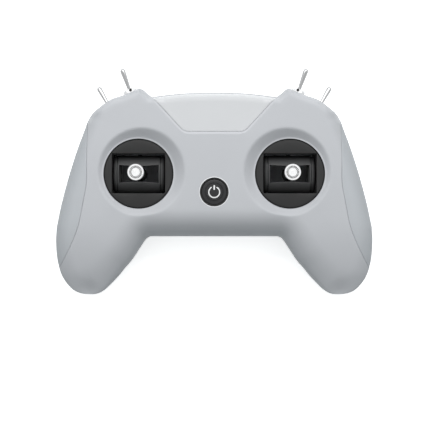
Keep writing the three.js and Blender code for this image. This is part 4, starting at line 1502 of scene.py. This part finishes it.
@dataclass(frozen=True)
class Gimbal:
    """One stick unit. Heights are above its pivot."""

    side: str = "left"
    pivot_height: float = 0.0226
    disc_radius: float = 0.0202
    disc_top: float = 0.014
    disc_thickness: float = 0.0035
    disc_edge: float = 0.00045
    rim_width: float = 0.0004
    rim_drop: float = 0.0009
    flange_width: float = 0.0023
    flange_thickness: float = 0.001
    window: tuple[float, float] = (0.0314, 0.0232)
    window_rise: float = 0.0004
    drum_radius: float = 0.012
    drum_wall: float = 0.002
    drum_half: float = 0.0124
    drum_floor: float = -0.0025
    step_reach: float = 0.0096
    step_depth: float = 0.0008
    groove_width: float = 0.0006
    groove_depth: float = 0.0014
    cheek: tuple[tuple[float, float], ...] = (
        (0.01305, 0.0118),
        (0.0137, 0.01165),
        (0.0144, 0.0112),
        (0.0149, 0.0104),
        (0.01515, 0.0094),
    )
    pin_radius: float = 0.0016
    pin_end: float = 0.017
    slot: tuple[float, float, float] = (0.0117, 0.0053, 0.0046)
    hub_radius: float = 0.0042
    collar_radius: float = 0.0032
    collar_height: float = 0.008
    collar_edge: float = 0.0004
    hub_pin: tuple[float, float] = (0.0012, 0.0117)
    shaft_radius: float = 0.0019
    thread_pitch: float = 0.0007
    thread_depth: float = 0.0002
    tip: float = 0.0355
    end_height: float = 0.009
    end_grip: float = 0.004
    end_radius: float = 0.0046
    neck_radius: float = 0.003
    end_edge: float = 0.0003
    band_start: float = 0.001
    band_pitch: float = 0.0011
    bore_depth: float = 0.006
    bore_radius: float = 0.0022
    ring_outer: float = 0.0036
    ring_inner: float = 0.0024
    ring_depth: float = 0.0009
    teeth: int = 26
    tooth_half: float = 0.00014
    tooth_drop: float = 0.0002
    knurls: int = 36
    knurl_share: float = 0.955
    eye: tuple[tuple[float, float], ...] = (
        (0.0016, 0.00002),
        (0.0015, 0.00015),
        (0.0012, 0.00015),
        (0.0011, 0),
        (0, 0),
    )

    @property
    def centre(self) -> Matrix:
        """Returns the matrix that moves a piece to the pivot."""
        shell = Shell()
        return Matrix.Translation((SIDES[self.side] * shell.gimbal_x, shell.gimbal_y, self.pivot_height))

    def disc(self) -> None:
        """Builds the round face with its rectangular window."""
        radius, top, edge = self.disc_radius, self.disc_top, self.disc_edge
        bottom = top - self.disc_thickness
        flange, ledge = radius + self.flange_width, bottom + self.flange_thickness
        profile = [(0, bottom), (flange, bottom), (flange, ledge), (radius, ledge), (radius, top - self.rim_drop)]
        profile += [(radius - self.rim_width, top - self.rim_drop), (radius - self.rim_width, top - edge * 0.3)]
        profile += [(radius - self.rim_width - edge * 0.3, top), (0, top)]
        piece = turned(f"{self.side}_gimbal_disc", profile, 128)
        x, y = self.window[0] / 2, self.window[1] / 2
        cut(piece, block("window_cutter", (-x, -y, bottom - edge), (x, y + self.window_rise, top + edge)))
        rounded(piece, 0.0002)
        dress(moved(piece, self.centre), Look.DISC, "black_plastic", "case", f"{self.side}_gimbal_bezel")

    def saddle(self) -> None:
        """Builds the slotted drum with its domed cheeks."""
        radius, half, groove = self.drum_radius, self.drum_half, self.groove_depth
        right = [(radius, half - 0.0003), (radius - 0.0001, half), (radius - groove, half)]
        right += [(radius - groove, half + self.groove_width)]
        right += [(reach, along) for along, reach in self.cheek]
        right += [(self.pin_radius, self.cheek[-1][0]), (self.pin_radius, self.pin_end), (0, self.pin_end)]
        profile = [(reach, -along) for reach, along in reversed(right)] + right
        piece = turned(f"{self.side}_saddle_drum", profile, 96)
        hollow = radius - self.drum_wall
        inner = half - 0.001
        cavity = turned("cavity_cutter", [(0, -inner), (hollow, -inner), (hollow, inner), (0, inner)], 96)
        for part in (piece, cavity):
            moved(part, ALONG_X)
        cut(piece, half_space(2, self.drum_floor))
        cut(piece, cavity)
        deep, wide, beyond = radius - self.step_depth, half + 0.0045, radius * 1.2
        back = turned("step_cutter", [(deep, -wide), (beyond, -wide), (beyond, wide), (deep, wide)], 96)
        moved(back, ALONG_X)
        cut(back, half_space(1, self.step_reach))
        cut(piece, back)
        end, tall, low = self.slot
        run = np.linspace(-1, 1, 13)
        edge = [(end * share, -(low + (tall - low) * abs(share) ** 1.5)) for share in run]
        cutter = extruded("slot_cutter", edge + [(-x, -y) for x, y in edge], radius / 2, radius * 1.2)
        cut(piece, cutter)
        rounded(piece, 0.00018)
        node = f"{self.side}_gimbal_saddle"
        dress(moved(piece, self.centre), Look.SADDLE, "dark_plastic", f"{self.side}_saddle", node)

    def hub(self) -> None:
        """Builds the ball and collar that carry the shaft."""
        ball, collar, top = self.hub_radius, self.collar_radius, self.collar_height
        profile = [(0, -ball)] + arc(ball, 0, range(-80, 41, 10))
        profile += [(collar, ball * 0.8), (collar, top - self.collar_edge), (collar - self.collar_edge, top)]
        profile += [(self.bore_radius, top), (self.bore_radius, ball), (0, ball)]
        piece = turned(f"{self.side}_hub_ball", profile, 48)
        thick, half = self.hub_pin
        pin = turned("pin", [(0, -half), (thick, -half), (thick, half), (0, half)], 20)
        joined([piece, moved(pin, ALONG_Y)])
        dress(moved(piece, self.centre), Look.BLACK, "black_plastic", f"{self.side}_stick", f"{self.side}_stick_hub")

    def shaft(self) -> None:
        """Builds the threaded shaft."""
        low, high = self.hub_radius + 0.0003, self.tip - self.end_height + self.bore_depth - 0.0003
        radius, root = self.shaft_radius, self.shaft_radius - self.thread_depth
        profile, height = [(0, low), (root, low)], self.collar_height + 0.0015
        profile += [(radius, low + 0.0002), (radius, height)]
        while height < high - 2 * self.thread_pitch:
            profile += [(root, height + self.thread_pitch * 0.35), (root, height + self.thread_pitch * 0.6)]
            profile += [(radius, height + self.thread_pitch * 0.9)]
            height += self.thread_pitch
        profile += [(radius, high - 0.0002), (root, high), (0, high)]
        piece = turned(f"{self.side}_threaded_shaft", profile, 32)
        dress(moved(piece, self.centre), Look.STEEL, "steel", f"{self.side}_stick", f"{self.side}_stick_shaft")

    def end(self) -> None:
        """Builds the knurled stick end with the toothed ring in its face, and a dark floor of painted shade in the
        ring's groove.
        """
        bottom, shoulder, top = self.tip - self.end_height, self.tip - self.end_grip, self.tip
        radius, neck, groove = self.end_radius, self.neck_radius, self.tip - self.ring_depth
        bore, edge = bottom + self.bore_depth, self.end_edge
        profile = [(0, bore), (self.bore_radius, bore), (self.bore_radius, bottom), (neck - edge, bottom)]
        profile += [(neck, bottom + edge)]
        for step in range(3):
            height = bottom + self.band_start + self.band_pitch * step
            profile += [(neck, height), (neck - edge, height + 0.0002)]
            profile += [(neck - edge, height + 0.0005), (neck, height + 0.0007)]
        profile += [(neck, shoulder - 0.0005), (radius - edge, shoulder), (radius, shoulder + edge)]
        profile += [(radius, shoulder + 0.0006), (radius, groove - 0.0004), (radius, groove)]
        profile += [(radius - 0.00005, top - 0.0001), (radius - 0.00018, top)]
        profile += [(self.ring_outer + 0.0001, top), (self.ring_outer, top - 0.0001), (self.ring_outer, groove)]
        profile += [(self.ring_inner, groove), (self.ring_inner, top - 0.0001), (self.ring_inner - 0.0001, top)]
        profile += [(reach, top - drop) for reach, drop in self.eye]
        piece = turned(f"{self.side}_stick_top", profile, 2 * self.knurls)
        for corner in piece.data.vertices:
            x, y, z = corner.co
            reach = math.hypot(x, y)
            if reach > radius - ON_RADIUS and shoulder + 0.0005 < z < groove - 0.0003:
                turn = round(math.atan2(y, x) / (math.pi / self.knurls))
                if turn % 2:
                    corner.co.x, corner.co.y = x * self.knurl_share, y * self.knurl_share
        dress(moved(piece, self.centre), Look.ALLOY, "bright_metal", f"{self.side}_stick", f"{self.side}_stick_end")
        inner, outer, half = self.ring_inner + 0.00003, self.ring_outer - 0.00003, self.tooth_half
        low, high = groove + 0.00003, groove + 0.0002
        ring = [(inner, low), (outer, low), (outer, high), (inner, high)]
        tooth = block("tooth", (inner, -half, groove + 0.0001), (outer, half, top - self.tooth_drop), 0.00004)
        teeth = around(tooth, self.teeth)
        teeth.name = f"{self.side}_stick_teeth"
        dress(moved(teeth, self.centre), Look.ALLOY, "bright_metal", f"{self.side}_stick")
        # The dark ring on the groove's floor, under the teeth, is painted shade of the deep groove.
        floor = turned(f"{self.side}_toothed_ring", ring, 60)
        dress(moved(floor, self.centre), Look.RING, "bright_metal", f"{self.side}_stick")

    def build(self) -> None:
        """Builds all that shows of the stick unit."""
        self.disc()
        self.saddle()
        self.hub()
        self.shaft()
        self.end()


# Power button


@dataclass(frozen=True)
class PowerButton:
    """The domed button with its ring and its printed symbol."""

    y: float = -0.0065
    hole: float = 0.0084
    gap: float = 0.0003
    ring_wall: float = 0.0006
    wall: float = 0.0022
    flange: float = 0.0018
    flange_thickness: float = 0.0012
    ring_drop: float = 0.0003
    dome: float = 0.0007
    groove_radius: float = 0.0051
    groove_half: float = 0.00038
    groove_depth: float = 0.0004
    groove_slope: float = 0.00015
    cap_rows: tuple[float, ...] = (0.0003, 0.0008, 0.0014)
    dome_rows: tuple[float, ...] = (0.004, 0.003, 0.002, 0.001, 0)
    cap_margin: float = 0.00018
    rim_width: float = 0.0005
    rim_height: float = 0.00012
    stem_radius: float = 0.002
    stem_end: float = 0.0238
    arc_radius: float = 0.00317
    stroke: float = 0.00068
    arc_gap: float = 31.0
    arc_drop: float = 0.00006
    dot_eye: float = 0.00001
    bar_length: float = 0.00276
    bar_width: float = 0.0009
    bar_rise: float = 0.00266
    bar_widths: tuple[float, ...] = (0.45, 0.8, 1, 1, 1, 0.8, 0.45)
    arc_points: int = 61
    dot_points: int = 17
    print_height: float = 0.00004

    @property
    def face(self) -> float:
        """Returns the height of the case's face at the button."""
        return float(Plan(CaseForm(), np.array([(0, self.y)])).face()[0])

    @property
    def radius(self) -> float:
        """Returns the radius of the button."""
        return self.hole - self.ring_wall - 2 * self.gap + self.cap_margin

    def surface(self, radius: float) -> float:
        """Returns the height of the dome at a radius."""
        return self.face - self.dome * (0.25 + 0.75 * (radius / self.radius) ** 2)

    def ring(self) -> None:
        """Builds the black ring round the button."""
        outer, inner, top = self.hole - self.gap / 2, self.radius + self.gap / 2, self.face - self.ring_drop
        ledge = self.face - self.wall - self.gap
        bottom, flange = ledge - self.flange_thickness, self.hole + self.flange
        profile = [(inner, bottom), (flange, bottom), (flange, ledge), (outer, ledge), (outer, top - 0.0002)]
        profile += [(outer - 0.0002, top), (inner + 0.0002, top), (inner, top - 0.0002)]
        piece = moved(turned("power_ring", profile, 96), Matrix.Translation((0, self.y, 0)))
        dress(piece, Look.BLACK, "black_plastic", "case", "power_button_bezel")

    def cap(self) -> None:
        """Builds the domed button."""
        radius, gap = self.radius, self.gap
        high = self.face - self.wall - gap - self.flange_thickness - gap
        low, skirt = high - self.flange_thickness, radius + self.flange
        profile = [(0, self.stem_end), (self.stem_radius, self.stem_end), (self.stem_radius, low)]
        profile += [(skirt, low), (skirt, high), (radius, high), (radius, self.surface(radius) - 0.0003)]
        profile += [(radius - 0.00008, self.surface(radius) - 0.0001)]
        inner, outer = self.groove_radius - self.groove_half, self.groove_radius + self.groove_half
        reach = [radius - inward for inward in self.cap_rows] + [outer + 0.0001, outer]
        profile += [(r, self.surface(r)) for r in reach]
        floor = (outer - self.groove_slope, inner + self.groove_slope)
        profile += [(r, self.surface(r) - self.groove_depth) for r in floor]
        reach = [inner, inner - 0.0001, *self.dome_rows]
        profile += [(r, self.surface(r)) for r in reach]
        piece = moved(turned("power_dome", profile, 96), Matrix.Translation((0, self.y, 0)))
        dress(piece, Look.CAP, "dark_plastic", "power_cap", "power_button_cap")

    def rim(self) -> None:
        """Builds the thin pale lip round the button's hole, which follows the case's face; its pale colour is a painted
        highlight of the hole's chamfer.
        """
        inner, outer, high = self.hole, self.hole + self.rim_width, self.rim_height
        profile = [(inner, -2 * high), (outer, -2 * high), (outer, high * 0.3)]
        profile += [((inner + outer) / 2, high), (inner, high * 0.5)]
        piece = moved(turned("power_highlight_ring", profile, 128), Matrix.Translation((0, self.y, 0)))
        points = np.array([corner.co[:2] for corner in piece.data.vertices])
        heights = Plan(CaseForm(), points).front()
        for corner, height in zip(piece.data.vertices, heights):
            corner.co.z += height
        dress(piece, Look.RIM, "case_grey", "case")

    def symbol(self) -> None:
        """Lays the printed arc and bar on the dome."""
        half, middle = self.stroke / 2, -self.arc_drop
        turns = np.radians(np.linspace(90 + self.arc_gap, 450 - self.arc_gap, self.arc_points))
        rows = [self.arc_radius - half, self.arc_radius, self.arc_radius + half]
        grid = [[(r * math.cos(t), middle + r * math.sin(t)) for t in turns] for r in rows]
        sweep = self.print_sheet("power_arc", grid)
        spin = np.linspace(0, TURN, self.dot_points)
        dots = []
        for turn in (turns[0], turns[-1]):
            x, y = self.arc_radius * math.cos(turn), middle + self.arc_radius * math.sin(turn)
            grid = [[(x + r * math.cos(t), y + r * math.sin(t)) for t in spin] for r in (self.dot_eye, half)]
            dots.append(self.print_sheet("power_dot", grid))
        wide, low = self.bar_width / 2, self.bar_rise + middle - self.bar_length / 2
        high = low + self.bar_length
        rows = [low, low + wide * 0.3, low + wide, (low + high) / 2, high - wide, high - wide * 0.3, high]
        widths = [wide * share for share in self.bar_widths]
        bar = self.print_sheet("power_bar", [[(width * k, y) for k in (1, 0, -1)] for y, width in zip(rows, widths)])
        piece = joined([sweep, *dots, bar])
        piece.name = "power_symbol"
        dress(moved(piece, Matrix.Translation((0, self.y, 0))), Look.PRINT, "dark_plastic", "power_cap")

    def print_sheet(self, name: str, grid: list) -> bpy.types.Object:
        """Makes a thin closed sheet on the dome.

        Args:
            name: The sheet's name.
            grid: Rows of points in plan.

        Returns:
            The new object.
        """
        flat = np.array(grid)
        rows, columns = flat.shape[:2]
        flat = flat.reshape(-1, 2)
        base = np.array([self.surface(math.hypot(x, y)) for x, y in flat])
        count = len(flat)
        corners = np.concatenate(
            [np.column_stack([flat, base + self.print_height]), np.column_stack([flat, base - 2 * self.print_height])]
        )
        faces = []
        for i in range(rows - 1):
            for j in range(columns - 1):
                k = i * columns + j
                face = [k, k + 1, k + columns + 1, k + columns]
                faces += [face, [corner + count for corner in reversed(face)]]
        rim = list(range(columns)) + [i * columns + columns - 1 for i in range(1, rows)]
        rim += [(rows - 1) * columns + j for j in range(columns - 2, -1, -1)]
        rim += [i * columns for i in range(rows - 2, 0, -1)]
        faces += [[b, a, a + count, b + count] for a, b in zip(rim, rim[1:] + rim[:1])]
        piece = mesh_piece(name, corners, faces)
        opened(piece)
        return sealed(piece)

    def build(self) -> None:
        """Builds the lip of painted highlight, the ring, the button and its symbol."""
        self.rim()
        self.ring()
        self.cap()
        self.symbol()


# Camera, light and floor


@dataclass(frozen=True)
class Studio:
    """The photograph's point of view, its soft light from the top and its white table."""

    focal_pixels: float = 997.8
    frame_pixels: float = 430.0
    eye: Place = (0.00045, -0.0199, 0.622)
    key_energy: float = 4.9
    key_place: Place = (0.0, 0.52, 0.64)
    key_size: tuple[float, float] = (1.1, 0.5)
    aim: Place = (0, 0, 0.02)
    film_width: float = 36.0
    near: float = 0.01
    sky_lean: Place = (0.0, 0.6, 0.8)
    sky: tuple[tuple[float, Colour], ...] = (
        (0.2, (0.05, 0.07, 0.08)),
        (0.52, (0.3, 0.325, 0.33)),
        (1.0, (0.98, 1.0, 1.0)),
    )
    floor_glow: float = 0.62
    floor_size: float = 3.0
    floor_white: Colour = (0.95, 0.95, 0.95)
    floor_dull: Colour = (0.2, 0.24, 0.245)

    def camera(self) -> None:
        """Places the camera straight above the face."""
        data = bpy.data.cameras.new("view")
        data.sensor_width = self.film_width
        data.lens = data.sensor_width * self.focal_pixels / self.frame_pixels
        data.clip_start = self.near
        camera = bpy.data.objects.new("view", data)
        camera.location = self.eye
        bpy.context.scene.collection.objects.link(camera)
        bpy.context.scene.camera = camera

    def lamp(self, name: str, place: Place, size: tuple[float, float], energy: float) -> None:
        """Hangs an area lamp that looks at the object.

        Args:
            name: The lamp's name.
            place: Where it hangs.
            size: Its width and height.
            energy: Its power in watts.
        """
        data = bpy.data.lights.new(name, "AREA")
        data.shape = "RECTANGLE"
        data.size, data.size_y = size
        data.energy = energy
        lamp = bpy.data.objects.new(name, data)
        lamp.location = place
        lamp.rotation_euler = (Vector(self.aim) - Vector(place)).to_track_quat("-Z", "Y").to_euler()
        bpy.context.scene.collection.objects.link(lamp)

    def world(self) -> None:
        """Makes the even light from all round, white where the camera sees it."""
        world = bpy.data.worlds.new("studio")
        bpy.context.scene.world = world
        world.use_nodes = True
        nodes, links = world.node_tree.nodes, world.node_tree.links
        output = nodes["World Output"]
        even = nodes["Background"]
        even.inputs["Strength"].default_value = 1.0
        place = nodes.new("ShaderNodeTexCoord")
        lean = nodes.new("ShaderNodeVectorMath")
        lean.operation = "DOT_PRODUCT"
        lean.inputs[1].default_value = self.sky_lean
        share = nodes.new("ShaderNodeMapRange")
        share.inputs["From Min"].default_value = -1.0
        ramp = nodes.new("ShaderNodeValToRGB")
        ramp.color_ramp.elements.new(0.5)
        for element, (position, colour) in zip(ramp.color_ramp.elements, self.sky):
            element.position = position
            element.color = (*colour, 1)
        links.new(place.outputs["Generated"], lean.inputs[0])
        links.new(lean.outputs["Value"], share.inputs["Value"])
        links.new(share.outputs["Result"], ramp.inputs["Fac"])
        links.new(ramp.outputs["Color"], even.inputs["Color"])
        white = nodes.new("ShaderNodeBackground")
        white.inputs["Color"].default_value = (1, 1, 1, 1)
        mix = nodes.new("ShaderNodeMixShader")
        links.new(seen_ray(world.node_tree), mix.inputs["Fac"])
        links.new(even.outputs["Background"], mix.inputs[1])
        links.new(white.outputs["Background"], mix.inputs[2])
        links.new(mix.outputs["Shader"], output.inputs["Surface"])

    def floor(self) -> None:
        """Lays the white table under the object."""
        bpy.ops.mesh.primitive_grid_add(x_subdivisions=8, y_subdivisions=8, size=self.floor_size)
        floor = bpy.context.object
        floor.name = "table"
        material = bpy.data.materials.new("table_white")
        material.use_nodes = True
        nodes, links = material.node_tree.nodes, material.node_tree.links
        shader = nodes["Principled BSDF"]
        shader.inputs["Base Color"].default_value = (*self.floor_white, 1)
        shader.inputs["Roughness"].default_value = 0.8
        shader.inputs["Specular IOR Level"].default_value = 0.2
        glow = nodes.new("ShaderNodeEmission")
        glow.inputs["Strength"].default_value = self.floor_glow
        seen = nodes.new("ShaderNodeMixShader")
        both = nodes.new("ShaderNodeAddShader")
        dull = nodes.new("ShaderNodeBsdfDiffuse")
        dull.inputs["Color"].default_value = (*self.floor_dull, 1)
        links.new(shader.outputs["BSDF"], both.inputs[0])
        links.new(glow.outputs["Emission"], both.inputs[1])
        links.new(seen_ray(material.node_tree), seen.inputs["Fac"])
        links.new(dull.outputs["BSDF"], seen.inputs[1])
        links.new(both.outputs["Shader"], seen.inputs[2])
        links.new(seen.outputs["Shader"], nodes["Material Output"].inputs["Surface"])
        floor.data.materials.append(material)

    def build(self) -> None:
        """Sets the camera, lamps, world and floor."""
        self.camera()
        self.lamp("key", self.key_place, self.key_size, self.key_energy)
        self.world()
        self.floor()
        bpy.context.scene.view_settings.view_transform = "Standard"


# Putting it together


def dress_solids() -> None:
    """Gives every solid that still shows the finish of its material slot; the gimbal frames take the saddle's lighter
    plastic instead, as painted light.
    """
    slots = {part["node"]: part["material_slot"] for part in frame["record"]["subparts"]}
    # The gimbal frames take the saddle's lighter plastic: painted light on frames that lie in the disc's shade.
    frames_painted_lighter = {f"{side}_gimbal_frame" for side in SIDES}
    for name, solid in frame["nodes"].items():
        look = (Look.SADDLE if name in frames_painted_lighter else SLOT_LOOKS[slots[name]]).value.material()
        if solid.material_slots:
            for place in solid.material_slots:
                place.material = look
        else:
            solid.data.materials.append(look)


def main() -> None:
    """Builds the scene, sub-assembly by sub-assembly."""
    logging.basicConfig(level=logging.INFO, format="%(message)s")
    Studio().build()
    dress_solids()
    Shell().build()
    BackShell().build()
    for toggle in Toggle.each():
        toggle.build()
    for side in SIDES:
        Gimbal(side).build()
        for place in SCREW_SHARES:
            Screw(side, place).build()
    PowerButton().build()
    BackButton("bind", -1).build()
    BackButton("setup", 1).build()
    Socket().build()


if __name__ == "__main__":
    main()
